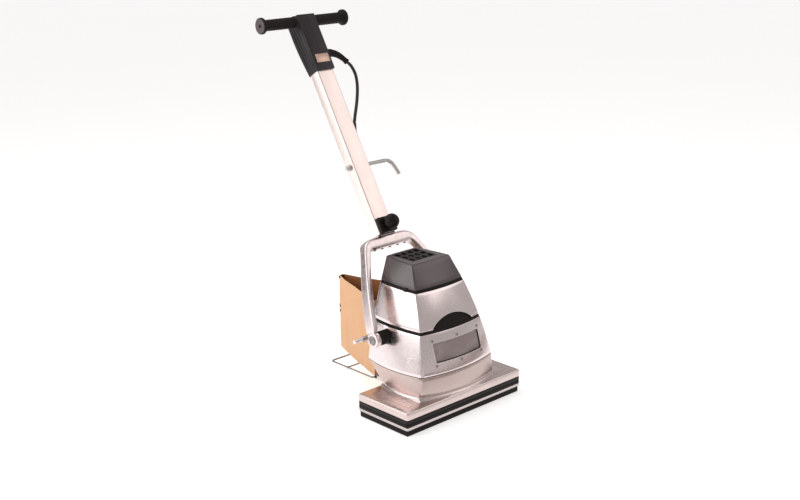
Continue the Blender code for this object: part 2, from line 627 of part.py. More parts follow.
def build_brush_motor(root):
    """Upright brush motor: its shell on the cover, and its rotor with the worm below."""
    neck_low = PLATE_TOP - PLATE_THICKNESS - GAP
    flange_low, can_low = PLATE_TOP + GAP, PLATE_TOP + 0.0045
    can_top = can_low + MOTOR_HEIGHT
    bore = SHAFT_RADIUS + RUNNING
    bm = bmesh.new()
    turned(bm, ((bore, neck_low), (MOTOR_NECK, neck_low), (MOTOR_NECK, flange_low),
                (MOTOR_FLANGE, flange_low),
                (MOTOR_FLANGE, can_low), (MOTOR_RADIUS, can_low), (MOTOR_RADIUS, can_top),
                (MOTOR_RADIUS - MOTOR_SHELL, can_top), (MOTOR_RADIUS - MOTOR_SHELL, can_low + 0.003),
                (bore, can_low + 0.003)), 24, looped=True)
    piece("brush_motor_shell", "steel", root, bm)
    body = group("brush_motor_axis", root)
    armature = MOTOR_RADIUS - MOTOR_SHELL - 0.002
    low, reach = BRUSH_Z - 0.016, BRUSH_Z + 0.016
    bm = bmesh.new()
    turned(bm, ((WORM_RADIUS, low), (WORM_RADIUS, reach), (SHAFT_RADIUS, reach),
                (SHAFT_RADIUS, can_low + 0.012),
                (armature, can_low + 0.012), (armature, can_top - 0.015), (SHAFT_RADIUS, can_top - 0.015),
                (SHAFT_RADIUS, can_top + 0.002)), 24)
    piece("brush_motor_rotor", "bronze", body, bm)


def build_suction(root):
    """Suction fan in its housing, its motor above, and the outlet through the rear of the casing."""
    top = FAN_LOW + FAN_HEIGHT
    place = Matrix.Translation((0, FAN_Y, 0))
    shaft = 0.004
    bm = bmesh.new()
    turned(bm, ((0.020, FAN_LOW), (FAN_RADIUS, FAN_LOW), (FAN_RADIUS, top), (shaft + 0.006, top),
                (shaft + 0.006, top - FAN_WALL), (FAN_RADIUS - FAN_WALL, top - FAN_WALL),
                (FAN_RADIUS - FAN_WALL, FAN_LOW + FAN_WALL), (0.020, FAN_LOW + FAN_WALL)), 24, place,
                looped=True)
    housing = piece("fan_housing", "cast_alloy", root, bm)
    port = bmesh.new()
    middle = (0, FAN_Y, FAN_LOW + FAN_HEIGHT / 2)
    turned(port, ((PORT_RADIUS, 0.03), (PORT_RADIUS, 0.08)), 16, along("Y", middle))
    combine(housing, "DIFFERENCE", port)
    bm = bmesh.new()
    start = FAN_Y + FAN_RADIUS + GAP
    end = BODY_REAR + OUTLET_REACH
    inside = OUTLET_RADIUS - OUTLET_WALL
    turned(bm, ((inside, start), (OUTLET_RADIUS, start), (OUTLET_RADIUS, end), (inside, end)), 24,
           along("Y", (0, 0, middle[2])), looped=True)
    piece("bag_outlet", "black_plastic", root, bm)
    low = top + GAP
    high = low + VACUUM_MOTOR_HEIGHT
    radius, inner = VACUUM_MOTOR_RADIUS, VACUUM_MOTOR_RADIUS - 0.005
    bm = bmesh.new()
    turned(bm, ((shaft + 0.006, low), (radius, low), (radius, high), (inner, high), (inner, low + 0.003),
                (shaft + 0.006, low + 0.003)), 24, place, looped=True)
    piece("vacuum_motor_shell", "steel", root, bm)
    body = group("fan_axis", root, (0, FAN_Y, 0))
    wheel_low, wheel_high = FAN_LOW + FAN_WALL + 0.004, top - FAN_WALL - 0.004
    wheel = FAN_RADIUS - FAN_WALL - 0.004
    bm = bmesh.new()
    armature = inner - 0.002
    turned(bm, ((shaft, wheel_low + 0.001), (shaft, low + 0.012), (armature, low + 0.012),
                (armature, high - 0.012), (shaft, high - 0.012), (shaft, high + 0.004)), 20)
    piece("vacuum_rotor", "copper", body, bm)
    bm = bmesh.new()
    turned(bm, ((shaft + GAP, wheel_low), (0.014, wheel_low), (0.014, wheel_high - 0.004),
                (wheel, wheel_high - 0.004), (wheel, wheel_high), (shaft + GAP, wheel_high)), 20, looped=True)
    piece("suction_fan", "aluminium", body, bm)


def build_pivots(root):
    """Bosses on the casing's sides, and the screws that the yoke turns on."""
    outer = PIVOT_HALF - ARM_THICKNESS / 2 - BOSS_GAP
    for side, name in (("-X", "left"), ("X", "right")):
        place = along(side, (0, PIVOT_Y, PIVOT_Z))
        bm = bmesh.new()
        turned(bm, ((BOSS_RADIUS - 0.006, BOSS_INNER), (BOSS_RADIUS, BOSS_INNER),
                    (BOSS_RADIUS, outer - 0.005),
                    (BOSS_RADIUS - 0.006, outer), (PIVOT_RADIUS - RUNNING + GAP, outer),
                    (PIVOT_RADIUS - RUNNING + GAP, BOSS_INNER)), 24, place, looped=True)
        piece(f"pivot_boss_{name}", "rubber", root, bm)
        bm = bmesh.new()
        face = PIVOT_HALF + ARM_THICKNESS / 2 + RUNNING
        turned(bm, ((PIVOT_RADIUS - RUNNING, BOSS_INNER), (PIVOT_RADIUS - RUNNING, face), (0.0115, face),
                    (0.0115, face + 0.002), (0.008, face + 0.004)), 20, place)
        piece(f"pivot_screw_{name}", "steel", root, bm)


def build_plunger(root):
    """Spring plunger behind the left arm, and the guide it slides in."""
    place = (0, PLUNGER_Y, SEAM_LOW - PLUNGER_DROP)
    bm = bmesh.new()
    turned(bm, ((PLUNGER_RADIUS + GAP, GUIDE_INNER), (GUIDE_RADIUS, GUIDE_INNER), (GUIDE_RADIUS, GUIDE_OUTER),
                (PLUNGER_RADIUS + GAP, GUIDE_OUTER)), 16, along("-X", place), looped=True)
    piece("plunger_guide", "black_plastic", root, bm)
    body = group("plunger_axis", root, place)
    bm = bmesh.new()
    turned(bm, ((PLUNGER_RADIUS, GUIDE_INNER - 0.004), (PLUNGER_RADIUS, PLUNGER_TIP - 0.0015),
                (PLUNGER_RADIUS - 0.0015, PLUNGER_TIP)), 16, along("-X"))
    piece("lock_plunger", "steel", body, bm)


def arm_path():
    """Sections of the yoke from left to right: middle, direction, thickness, depth and setback."""
    top = CROSSBAR_LOW + CROSSBAR_HEIGHT / 2
    arm_top = CROSSBAR_LOW + 0.004
    sections = []
    steps = 6
    low, high = 0.012, arm_top
    for k in range(steps + 1):
        t = k / steps
        r = low + (high - low) * t
        reach = PIVOT_HALF + (CROSSBAR_HALF + 0.011 - PIVOT_HALF) * (0.68 * t + 0.32 * t * t)
        if k == 0:
            reach = PIVOT_HALF - 0.0005
        slope = (CROSSBAR_HALF + 0.011 - PIVOT_HALF) * (0.68 + 0.64 * t) / (high - low)
        direction = Vector((slope, 0, 1)).normalized() if k else Vector((0, 0, 1))
        depth = ARM_DEPTH_LOW + (ARM_DEPTH_TOP - ARM_DEPTH_LOW) * t
        thickness = ARM_THICKNESS + (0.004 if k == steps else 0.0)
        sections.append((Vector((reach, 0, r)), direction, thickness, depth, 0.008 * t))
    corner = Vector((CROSSBAR_HALF + 0.002, 0, top - 0.004))
    sections.append((corner, Vector((-0.6, 0, 0.8)), 0.028, TUBE_DEPTH - 0.002, TUBE_BACK))
    sections.append((Vector((CROSSBAR_HALF - 0.022, 0, top)), Vector((-1, 0, 0)), CROSSBAR_HEIGHT, TUBE_DEPTH,
                     TUBE_BACK))
    return sections


def section_ring(section, side):
    """Corners of one rectangular section of the yoke, mirrored for the left arm."""
    middle, direction, thickness, depth, setback = section
    outward = Vector((direction.z, 0, -direction.x))
    bevel = 0.22
    ring = []
    for u, v in ((-1, -1 + bevel), (-1, 1 - bevel), (-1 + bevel, 1), (1 - bevel, 1), (1, 1 - bevel),
                 (1, -1 + bevel), (1 - bevel, -1), (-1 + bevel, -1)):
        point = middle + outward * (u * thickness / 2) + Vector((0, setback + v * depth / 2, 0))
        ring.append(Vector((side * point.x, point.y, point.z)))
    return ring


def build_yoke(yoke):
    """One casting: two arms, the crossbar and the spigot that the handle tube slides on."""
    sections = arm_path()
    bm = bmesh.new()
    right = [section_ring(section, 1) for section in sections]
    left = [section_ring(section, -1) for section in reversed(sections)]
    skin(bm, right + left)
    casting = piece("yoke", "cast_alloy", yoke, bm)
    more = bmesh.new()
    for side in ("-X", "X"):
        turned(more, ((PADDLE_RADIUS, PIVOT_HALF - ARM_THICKNESS / 2),
                      (PADDLE_RADIUS, PIVOT_HALF + ARM_THICKNESS / 2)),
               24, along(side))
    combine(casting, "UNION", more)
    clear = TUBE_WALL + GAP
    spigot = bmesh.new()
    skin(spigot, [rectangle_ring(TUBE_WIDTH / 2 - clear, TUBE_DEPTH / 2 - clear, z, 0.003, (0, TUBE_BACK), 1)
                  for z in (TUBE_LOW - 0.01, TUBE_LOW + SPIGOT_LENGTH)])
    combine(casting, "UNION", spigot)
    holes = bmesh.new()
    turned(holes, ((PIVOT_RADIUS, -0.25), (PIVOT_RADIUS, 0.25)), 24, along("X"))
    combine(casting, "DIFFERENCE", holes)


def build_handle(handle):
    """Handle tube with its clamp block, in axes whose Z runs up the tube from the pivot."""
    low = TUBE_LOW + 0.002
    bm = bmesh.new()
    rings = [rectangle_ring(TUBE_WIDTH / 2 - wall, TUBE_DEPTH / 2 - wall, z, 0.004 - wall, (0, TUBE_BACK))
             for wall, z in ((0, low), (0, low + TUBE_LENGTH), (TUBE_WALL, low + TUBE_LENGTH),
                             (TUBE_WALL, low))]
    skin(bm, rings, looped=True)
    tube = piece("handle_tube", "aluminium", handle, bm)
    clamp_z = low + BLOCK_HEIGHT / 2
    hook_z = TUBE_LOW + HOOK_RISE
    holes = bmesh.new()
    turned(holes, ((HOOK_ROD + GAP, -0.1), (HOOK_ROD + GAP, 0.1)), 16, along("X", (0, TUBE_BACK, hook_z)))
    turned(holes, ((KNOB_SCREW + GAP, 0), (KNOB_SCREW + GAP, 0.02)), 12,
           along("-Y", (0, TUBE_WALL * 2 - TUBE_FRONT,
                                                                                    clamp_z)))
    combine(tube, "DIFFERENCE", holes)
    bm = bmesh.new()
    front = -TUBE_FRONT - GAP
    box(bm, (-TUBE_WIDTH / 2, front - BLOCK_DEPTH, low), (TUBE_WIDTH / 2, front, low + BLOCK_HEIGHT))
    block = piece("clamp_block", "black_plastic", handle, bm)
    hole = bmesh.new()
    turned(hole, ((KNOB_SCREW + GAP, 0), (KNOB_SCREW + GAP, 0.05)), 12, along("-Y", (0, 0, clamp_z)))
    combine(block, "DIFFERENCE", hole)
    build_knob(handle, front - BLOCK_DEPTH - RUNNING, clamp_z)
    build_hook(handle, hook_z)


def build_knob(handle, face, clamp_z):
    """Round clamp knob with its screw."""
    body = group("clamp_knob_axis", handle, (0, 0, clamp_z))
    bm = bmesh.new()
    profile = [(KNOB_SCREW, TUBE_FRONT - TUBE_WALL + GAP), (KNOB_SCREW, -face), (KNOB_STEM, -face)]
    middle = -face + math.sqrt(KNOB_RADIUS ** 2 - KNOB_STEM ** 2)
    start = math.asin(KNOB_STEM / KNOB_RADIUS)
    for k in range(1, 9):
        angle = start + (math.radians(172) - start) * k / 8
        profile.append((KNOB_RADIUS * math.sin(angle), middle - KNOB_RADIUS * math.cos(angle)))
    turned(bm, profile, 20, along("-Y"))
    piece("clamp_knob", "black_plastic", body, bm)


def build_hook(handle, hook_z):
    """Cord hook: a bent rod through the tube, with a nut on its left end."""
    body = group("cord_hook_axis", handle, (0, TUBE_BACK, hook_z))
    half = TUBE_WIDTH / 2
    elbow = half + HOOK_REACH
    points = [(-half - 0.004, 0, 0), (0, 0, 0), (elbow - 0.014, 0, 0), (elbow - 0.005, 0, -0.0015),
              (elbow + 0.003, 0, -0.007), (elbow + 0.009, 0, -0.016),
              (elbow + HOOK_LEG_OUT, 0, -HOOK_LEG_DOWN)]
    bm = bmesh.new()
    sweep(bm, points, HOOK_ROD, 10)
    rod = piece("cord_hook", "steel", body, bm)
    nut = bmesh.new()
    turned(nut, ((HOOK_NUT + 0.001, half + RUNNING), (HOOK_NUT + 0.001, half + 0.003),
                 (HOOK_NUT, half + 0.004),
                 (HOOK_NUT, half + 0.010), (HOOK_NUT / 2, half + 0.015)), 12, along("-X"))
    combine(rod, "UNION", nut)


def housing_outline():
    """Side outline of the switch housing as (behind, up) points, flat in front and curved behind."""
    low, high = TUBE_LOW + HOUSING_BOTTOM, TUBE_LOW + HOUSING_BOTTOM + HOUSING_HEIGHT
    rear = []
    for k in range(9):
        t = k / 8
        swell = HOUSING_REAR_BULGE * math.sin(math.pi * min(1.0, 0.5 * t / 0.72) if t < 0.72 else math.pi / 2)
        rear.append((HOUSING_REAR + swell - (0.006 if k == 8 else 0), low + (high - low) * t))
    return [(-HOUSING_FRONT, low), (-HOUSING_FRONT, high - 0.004),
            (-HOUSING_FRONT + 0.004, high)] + rear[::-1]


def machine_shift():
    """Moves the machine so that the origin is midway between the base's front and the housing's rear."""
    rear_end = PIVOT_Y + max(y * math.cos(LEAN) + z * math.sin(LEAN) for y, z in housing_outline())
    return (BASE_DEPTH / 2 - rear_end) / 2


def build_housing(handle):
    """Switch housing, bar, grips, rocker switch, rating plate and the handle cord's fittings."""
    half = HOUSING_WIDTH / 2
    high = TUBE_LOW + HOUSING_BOTTOM + HOUSING_HEIGHT
    bar_z = TUBE_LOW + BAR_RISE
    bm = bmesh.new()
    edge = 0.003
    rings = []
    outline = housing_outline()
    middle = Vector((sum(p[0] for p in outline) / len(outline), sum(p[1] for p in outline) / len(outline)))
    for x, inset in ((-half, edge), (-half + edge, 0), (half - edge, 0), (half, edge)):
        ring = []
        for y, z in outline:
            away = (middle - Vector((y, z)))
            pull = Vector((math.copysign(min(inset, abs(away.x)), away.x),
                           math.copysign(min(inset, abs(away.y)), away.y)))
            ring.append(Vector((x, y + pull.x, z + pull.y)))
        rings.append(ring)
    skin(bm, rings)
    housing = piece("switch_housing", "grey_plastic", handle, bm)
    pocket = bmesh.new()
    skin(pocket, [rectangle_ring(TUBE_WIDTH / 2 + GAP, TUBE_DEPTH / 2 + GAP, z, 0.004, (0, TUBE_BACK))
                  for z in (TUBE_LOW + HOUSING_BOTTOM - 0.01, bar_z - BAR_RADIUS - 0.006)])
    combine(housing, "DIFFERENCE", pocket)
    bore = bmesh.new()
    turned(bore, ((BAR_RADIUS + GAP, -0.1), (BAR_RADIUS + GAP, 0.1)), 20, along("X", (0, BAR_BACK, bar_z)))
    combine(housing, "DIFFERENCE", bore)
    switch_well = bmesh.new()
    box(switch_well, (-SWITCH_WIDTH / 2 - RUNNING, SWITCH_PLACE - SWITCH_DEPTH / 2 - RUNNING,
                      high - SWITCH_POCKET),
        (SWITCH_WIDTH / 2 + RUNNING, SWITCH_PLACE + SWITCH_DEPTH / 2 + RUNNING, high + 0.01))
    combine(housing, "DIFFERENCE", switch_well)
    bm = bmesh.new()
    bar_half = GRIP_SPAN / 2 - GRIP_FLANGE_LENGTH
    turned(bm, ((BAR_RADIUS - BAR_WALL, -bar_half), (BAR_RADIUS, -bar_half), (BAR_RADIUS, bar_half),
                (BAR_RADIUS - BAR_WALL, bar_half)), 20, along("X", (0, BAR_BACK, bar_z)), looped=True)
    piece("handle_bar", "steel", handle, bm)
    for side, name in (("-X", "left"), ("X", "right")):
        build_grip(handle, side, name, (0, BAR_BACK, bar_z), half + GAP)
    build_switch(handle, high)
    bm = bmesh.new()
    plate_z = TUBE_LOW + HOUSING_BOTTOM + 0.036
    box(bm, (-PLATE_WIDTH / 2, -HOUSING_FRONT - GAP - PLATE_SHEET, plate_z - PLATE_HEIGHT / 2),
        (PLATE_WIDTH / 2, -HOUSING_FRONT - GAP, plate_z + PLATE_HEIGHT / 2))
    piece("rating_plate", "aluminium", handle, bm)


def build_grip(handle, side, name, place, start):
    """Rubber grip with a flanged, closed end."""
    end = GRIP_SPAN / 2
    bore, bottom = BAR_RADIUS + GAP, end - GRIP_FLANGE_LENGTH + GAP
    bm = bmesh.new()
    turned(bm, ((bore, bottom), (bore, start), (GRIP_RADIUS, start), (GRIP_RADIUS, end - 0.016),
                (GRIP_FLANGE, end - 0.010), (GRIP_FLANGE, end - 0.003), (GRIP_FLANGE - 0.004, end)), 24,
           along(side, place))
    piece(f"grip_{name}", "rubber", handle, bm)


def build_switch(handle, high):
    """Rocker switch on its axle line across the top of the housing."""
    body = group("switch_axis", handle, (0, SWITCH_PLACE, high - 0.001))
    half_x, half_y = SWITCH_WIDTH / 2, SWITCH_DEPTH / 2
    bm = bmesh.new()
    skin(bm, [[Vector((x, y, z)) for x, z in ((-half_x + 0.002, -0.0035), (0, -0.0045),
                                              (half_x - 0.002, -0.0035),
                                              (half_x, 0.006), (half_x - 0.002, 0.008), (0, 0.0065),
                                              (-half_x + 0.002, 0.008), (-half_x, 0.006))]
              for y in (-half_y, half_y)])
    piece("switch_rocker", "black_plastic", body, bm)


def smooth_route(points, spacing):
    """Points a spacing apart on the smooth curve through a route's own points."""
    points = [Vector(point) for point in points]
    padded = [2 * points[0] - points[1]] + points + [2 * points[-1] - points[-2]]
    fine = []
    for a, b, c, d in zip(padded, padded[1:], padded[2:], padded[3:]):
        steps = max(1, round((c - b).length / spacing))
        for k in range(steps):
            t = k / steps
            fine.append(0.5 * (2 * b + (c - a) * t + (2 * a - 5 * b + 4 * c - d) * t ** 2
                               + (3 * b - a - 3 * c + d) * t ** 3))
    return fine + [points[-1]]


def lifted(points):
    """Route points moved from the tube's side and foot to the handle's axes."""
    return [Vector((TUBE_WIDTH / 2 + x, y, TUBE_LOW + z)) for x, y, z in points]


def build_cord(handle):
    """Cord from the switch housing back into the tube, with a moulded boot and a gland."""
    bm = bmesh.new()
    sweep(bm, lifted(BOOT_ROUTE), list(BOOT_RADII), 12)
    piece("cord_boot", "rubber", handle, bm)
    curve = bpy.data.curves.new("handle_cord", "CURVE")
    curve.dimensions = "3D"
    curve.bevel_depth = CORD_RADIUS
    curve.bevel_resolution = 2
    curve.use_fill_caps = True
    route = smooth_route(lifted(CORD_ROUTE), 5 * CORD_RADIUS)
    spline = curve.splines.new("POLY")
    spline.points.add(len(route) - 1)
    for point, place in zip(spline.points, route):
        point.co = (*place, 1.0)
    curve.materials.append(material("rubber", *FINISHES["rubber"]))
    cord = bpy.data.objects.new("handle_cord", curve)
    cord.parent = handle
    bpy.context.scene.collection.objects.link(cord)
    base, tip = lifted((GLAND_BASE, GLAND_TIP))
    bm = bmesh.new()
    turned(bm, ((0.010, 0), (0.010, (tip - base).length * 0.4), (0.0065, (tip - base).length)), 12,
           towards(tip - base, base))
    gland = piece("cord_gland", "rubber", handle, bm)
    inside = bmesh.new()
    box(inside, (-0.05, -0.05, base.z - 0.05), (TUBE_WIDTH / 2 + GAP, 0.08, base.z + 0.08))
    combine(gland, "DIFFERENCE", inside)


def build_rack(root):
    """Bracket behind the base, and the hinged wire rack that the bag stands on."""
    wall = BASE_DEPTH / 2 + GAP
    bm = bmesh.new()
    foot_low = PLATE_TOP - PLATE_EDGE_HEIGHT + 0.001
    box(bm, (-BRACKET_X - 0.012, wall, foot_low),
        (BRACKET_X + 0.012, wall + 0.003, RACK_Z + BRACKET_HEIGHT / 2))
    bracket = piece("rack_bracket", "steel", root, bm)
    arms = bmesh.new()
    bores = bmesh.new()
    for side in (-1, 1):
        x = side * BRACKET_X
        box(arms, (x - BRACKET_WIDTH / 2, wall + 0.001, RACK_Z - BRACKET_HEIGHT / 2),
            (x + BRACKET_WIDTH / 2, RACK_HINGE_Y + 0.006, RACK_Z + BRACKET_HEIGHT / 2 - 0.0005))
        turned(bores, ((RACK_WIRE + RUNNING / 2, x - 0.02), (RACK_WIRE + RUNNING / 2, x + 0.02)), 12,
               along("X", (0, RACK_HINGE_Y, RACK_Z)))
    combine(bracket, "UNION", arms)
    combine(bracket, "DIFFERENCE", bores)
    body = group("rack_axis", root, (0, RACK_HINGE_Y, RACK_Z))
    bm = bmesh.new()
    bend = 0.006
    route = []
    for index, (sx, y) in enumerate(((1, RACK_LENGTH), (-1, RACK_LENGTH), (-1, 0), (1, 0))):
        sy = 1 if y else -1
        middle = Vector((sx * (RACK_HALF - bend), y - sy * bend, 0))
        for step in range(4):
            angle = math.pi / 2 * (index + step / 3)
            route.append(middle + bend * Vector((math.cos(angle), math.sin(angle), 0)))
    sweep(bm, route, RACK_WIRE, 8, looped=True)
    rack = piece("bag_rack", "steel", body, bm)
    bar = bmesh.new()
    turned(bar, ((RACK_WIRE, -RACK_HALF), (RACK_WIRE, RACK_HALF)), 8, along("X", (0, RACK_BAR, 0)))
    combine(rack, "UNION", bar)


def bag_ring(z, inset):
    """Plan of the bag: wide at the machine, pinched to a narrow edge behind."""
    front, rear = BAG_FRONT + inset, BAG_FRONT + BAG_LENGTH - inset
    half, narrow = BAG_HALF - inset, BAG_REAR_HALF - inset * 0.6
    swell = 0.006
    ring = []
    for start, end, bulge in (((-half, front), (half, front), 0.0), ((half, front), (narrow, rear), swell),
                              ((narrow, rear), (-narrow, rear), 0.0),
                              ((-narrow, rear), (-half, front), swell)):
        start, end = Vector(start), Vector(end)
        outward = Vector((end.y - start.y, start.x - end.x)).normalized()
        for step in range(4):
            t = step / 4
            point = start.lerp(end, t) + outward * bulge * 4 * t * (1 - t)
            ring.append(Vector((BAG_X + point.x, point.y, z)))
    return ring


def build_bag(root):
    """Open-topped paper bag that slides over the outlet and stands on the rack."""
    low = RACK_Z + RACK_WIRE + BAG_CLEARANCE + BRACKET_HEIGHT / 2 - RACK_WIRE
    high = low + BAG_HEIGHT
    body = group("bag_axis", root)
    bm = bmesh.new()
    skin(bm, [bag_ring(low + BAG_WALL, BAG_WALL), bag_ring(high, BAG_WALL), bag_ring(high, 0),
              bag_ring(low, 0)])
    bag = piece("paper_bag", "kraft", body, bm)
    hole = bmesh.new()
    turned(hole, ((OUTLET_RADIUS + 0.001, -0.02), (OUTLET_RADIUS + 0.001, 0.02)), 24,
           along("Y", (0, BAG_FRONT, FAN_LOW + FAN_HEIGHT / 2)))
    combine(bag, "DIFFERENCE", hole)


def main():
    """Builds the machine."""
    clear_scene()
    root = group("machine", None, (0, machine_shift(), 0))
    build_base(root)
    build_casings(root)
    build_brush_drive(root)
    build_suction(root)
    build_pivots(root)
    build_plunger(root)
    build_rack(root)
    build_bag(root)
    yoke = group("yoke_axis", root, (0, PIVOT_Y, PIVOT_Z), LEAN)
    build_yoke(yoke)
    handle = group("handle_axis", yoke)
    build_handle(handle)
    build_housing(handle)
    build_cord(handle)


main()
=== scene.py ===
"""Looks of the upright carpet cleaner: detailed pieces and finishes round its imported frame.

Metres, +Z up, -Y to the front. Handle pieces are drawn in the handle's own axes (across, behind the
pivot, up the tube) and then leaned back with the yoke.
"""

import sys
import logging
import math
from collections.abc import Callable, Iterator
from contextlib import contextmanager
from dataclasses import dataclass
from enum import Enum

import bpy
from mathutils import Matrix, Vector


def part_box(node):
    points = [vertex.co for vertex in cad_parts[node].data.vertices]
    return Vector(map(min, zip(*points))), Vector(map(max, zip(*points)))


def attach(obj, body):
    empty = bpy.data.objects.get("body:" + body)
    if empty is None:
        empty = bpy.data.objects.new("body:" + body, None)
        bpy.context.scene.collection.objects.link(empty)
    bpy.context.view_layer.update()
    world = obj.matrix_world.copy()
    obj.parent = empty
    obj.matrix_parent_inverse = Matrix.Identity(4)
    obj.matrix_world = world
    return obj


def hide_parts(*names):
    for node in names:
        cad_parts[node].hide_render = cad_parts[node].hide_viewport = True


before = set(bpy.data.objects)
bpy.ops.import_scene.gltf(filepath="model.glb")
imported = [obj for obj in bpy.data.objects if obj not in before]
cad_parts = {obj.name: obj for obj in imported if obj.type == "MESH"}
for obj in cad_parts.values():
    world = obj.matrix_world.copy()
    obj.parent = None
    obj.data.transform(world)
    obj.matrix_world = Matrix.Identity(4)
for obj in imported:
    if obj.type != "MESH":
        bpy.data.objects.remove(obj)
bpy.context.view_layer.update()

LOG = logging.getLogger("carpet_cleaner")

Colour = tuple[float, float, float]
Profile = list[tuple[float, float]]
Piece = bpy.types.Object
Socket = bpy.types.NodeSocket
Material = bpy.types.Material

HAIR = 0.00002           # radius that stands for a point on an axis
MERGE = 0.000005         # points nearer than this become one


class Axis(Enum):
    """Directions that a turned piece is laid along."""

    LEFT = "-X"
    RIGHT = "X"
    BACK = "Y"
    FRONT = "-Y"
    UP = "Z"

    def laid(self, origin: Vector | tuple = (0.0, 0.0, 0.0)) -> Matrix:
        """Matrix that lays a shape drawn along Z along this direction, from an origin.

        Args:
            origin: where the shape's own origin goes.

        Returns:
            The placing matrix.
        """
        quarter = math.pi / 2
        turns = {Axis.RIGHT: Matrix.Rotation(quarter, 4, "Y"), Axis.LEFT: Matrix.Rotation(-quarter, 4, "Y"),
                 Axis.BACK: Matrix.Rotation(-quarter, 4, "X"), Axis.FRONT: Matrix.Rotation(quarter, 4, "X"),
                 Axis.UP: Matrix()}
        return Matrix.Translation(origin) @ turns[self]


class Side(Enum):
    """The two hands of a piece that comes as a pair."""

    LEFT = -1
    RIGHT = 1

    @property
    def word(self) -> str:
        """The hand in lower case, for a piece's name."""
        return self.name.lower()

    @property
    def axis(self) -> Axis:
        """The direction out of the machine on this hand."""
        return Axis.LEFT if self is Side.LEFT else Axis.RIGHT


# ---------------------------------------------------------------- bench: shaping with Blender's operators

def deselect() -> None:
    """Leaves nothing selected and object mode on."""
    if bpy.context.object and bpy.context.object.mode != "OBJECT":
        bpy.ops.object.mode_set(mode="OBJECT")
    bpy.ops.object.select_all(action="DESELECT")


def focus(obj: Piece) -> Piece:
    """Selects one object alone and makes it active.

    Args:
        obj: the object.

    Returns:
        The same object.
    """
    deselect()
    obj.select_set(True)
    bpy.context.view_layer.objects.active = obj
    return obj


def fixed(obj: Piece, matrix: Matrix | None = None) -> Piece:
    """Moves an object by a matrix and applies it, so that its place is in its mesh.

    Args:
        obj: the object to place.
        matrix: where it goes from where it was made.

    Returns:
        The object, at the origin, unturned and unscaled.
    """
    focus(obj)
    if matrix is not None:
        obj.matrix_world = matrix @ obj.matrix_world
    bpy.ops.object.transform_apply(location=True, rotation=True, scale=True)
    return obj


def started(name: str) -> Piece:
    """Names the primitive that was just added and applies its place.

    Args:
        name: the piece's name.

    Returns:
        The active object.
    """
    obj = bpy.context.object
    obj.name = obj.data.name = name
    bpy.ops.object.transform_apply(location=True, rotation=True, scale=True)
    return obj


@contextmanager
def shaping() -> Iterator[None]:
    """Edit mode with all of the active object selected; leaving it points every face out.

    Returns:
        Nothing while shaping.
    """
    bpy.ops.object.mode_set(mode="EDIT")
    bpy.ops.mesh.select_all(action="SELECT")
    yield
    bpy.ops.mesh.select_all(action="SELECT")
    bpy.ops.mesh.normals_make_consistent(inside=False)
    bpy.ops.object.mode_set(mode="OBJECT")


def close_ends(bridged: bool = False) -> None:
    """Closes the open ends of the mesh in edit mode.

    Args:
        bridged: joins the two ends instead of filling each.
    """
    bpy.ops.mesh.select_all(action="DESELECT")
    bpy.ops.mesh.select_non_manifold()
    if bridged:
        bpy.ops.mesh.bridge_edge_loops()
    else:
        bpy.ops.mesh.fill_holes(sides=0)


def modified(obj: Piece, kind: str, **settings: object) -> Piece:
    """Adds a modifier, sets it up and applies it.

    Args:
        obj: the object to change.
        kind: the modifier's type.
        settings: its settings by name.

    Returns:
        The same object.
    """
    focus(obj)
    modifier = obj.modifiers.new(kind, kind)
    for key, value in settings.items():
        setattr(modifier, key, value)
    bpy.ops.object.modifier_apply(modifier=kind)
    return obj


def outward(obj: Piece) -> Piece:
    """Merges doubles and points every face out.

    Args:
        obj: the object to mend.

    Returns:
        The same object.
    """
    focus(obj)
    with shaping():
        bpy.ops.mesh.remove_doubles(threshold=MERGE)
    return obj


def lofted(name: str, rings: list[list[Vector]], closed: bool = False, capped: bool = True) -> Piece:
    """Grid bent through rings of points, its seam merged and its ends filled.

    Args:
        name: the piece's name.
        rings: closed rows of points, as many in each.
        closed: joins the last row to the first.
        capped: fills the open ends.

    Returns:
        The new object.
    """
    rows = [list(ring) + [ring[0]] for ring in rings]
    if closed:
        rows.append(rows[0])
    deselect()
    bpy.ops.mesh.primitive_grid_add(x_subdivisions=len(rows[0]) - 1, y_subdivisions=len(rows) - 1)
    obj = started(name)
    flat = [value for row in rows for point in row for value in point]
    obj.data.vertices.foreach_set("co", flat)
    with shaping():
        bpy.ops.mesh.remove_doubles(threshold=MERGE)
        if capped and not closed:
            close_ends()
    return obj


def turned(name: str, profile: Profile, place: Matrix | None = None, sides: int = 32,
           hollow: bool = False) -> Piece:
    """Circle drawn through a profile by extruding and resizing it, as on a lathe.

    Args:
        name: the piece's name.
        profile: (radius, height) points.
        place: matrix that lays the turned shape in the machine.
        sides: points round it.
        hollow: joins the profile's end to its start, for a ring.

    Returns:
        The new object.
    """
    deselect()
    radius, height = max(profile[0][0], HAIR), profile[0][1]
    bpy.ops.mesh.primitive_circle_add(vertices=sides, radius=radius, location=(0, 0, height))
    obj = started(name)
    with shaping():
        for next_radius, next_height in profile[1:]:
            next_radius = max(next_radius, HAIR)
            bpy.ops.mesh.extrude_region_move(TRANSFORM_OT_translate={"value": (0, 0, next_height - height)})
            scale = next_radius / radius
            bpy.ops.transform.resize(value=(scale, scale, 1), center_override=(0, 0, next_height))
            radius, height = next_radius, next_height
        close_ends(bridged=hollow)
    return fixed(obj, place)


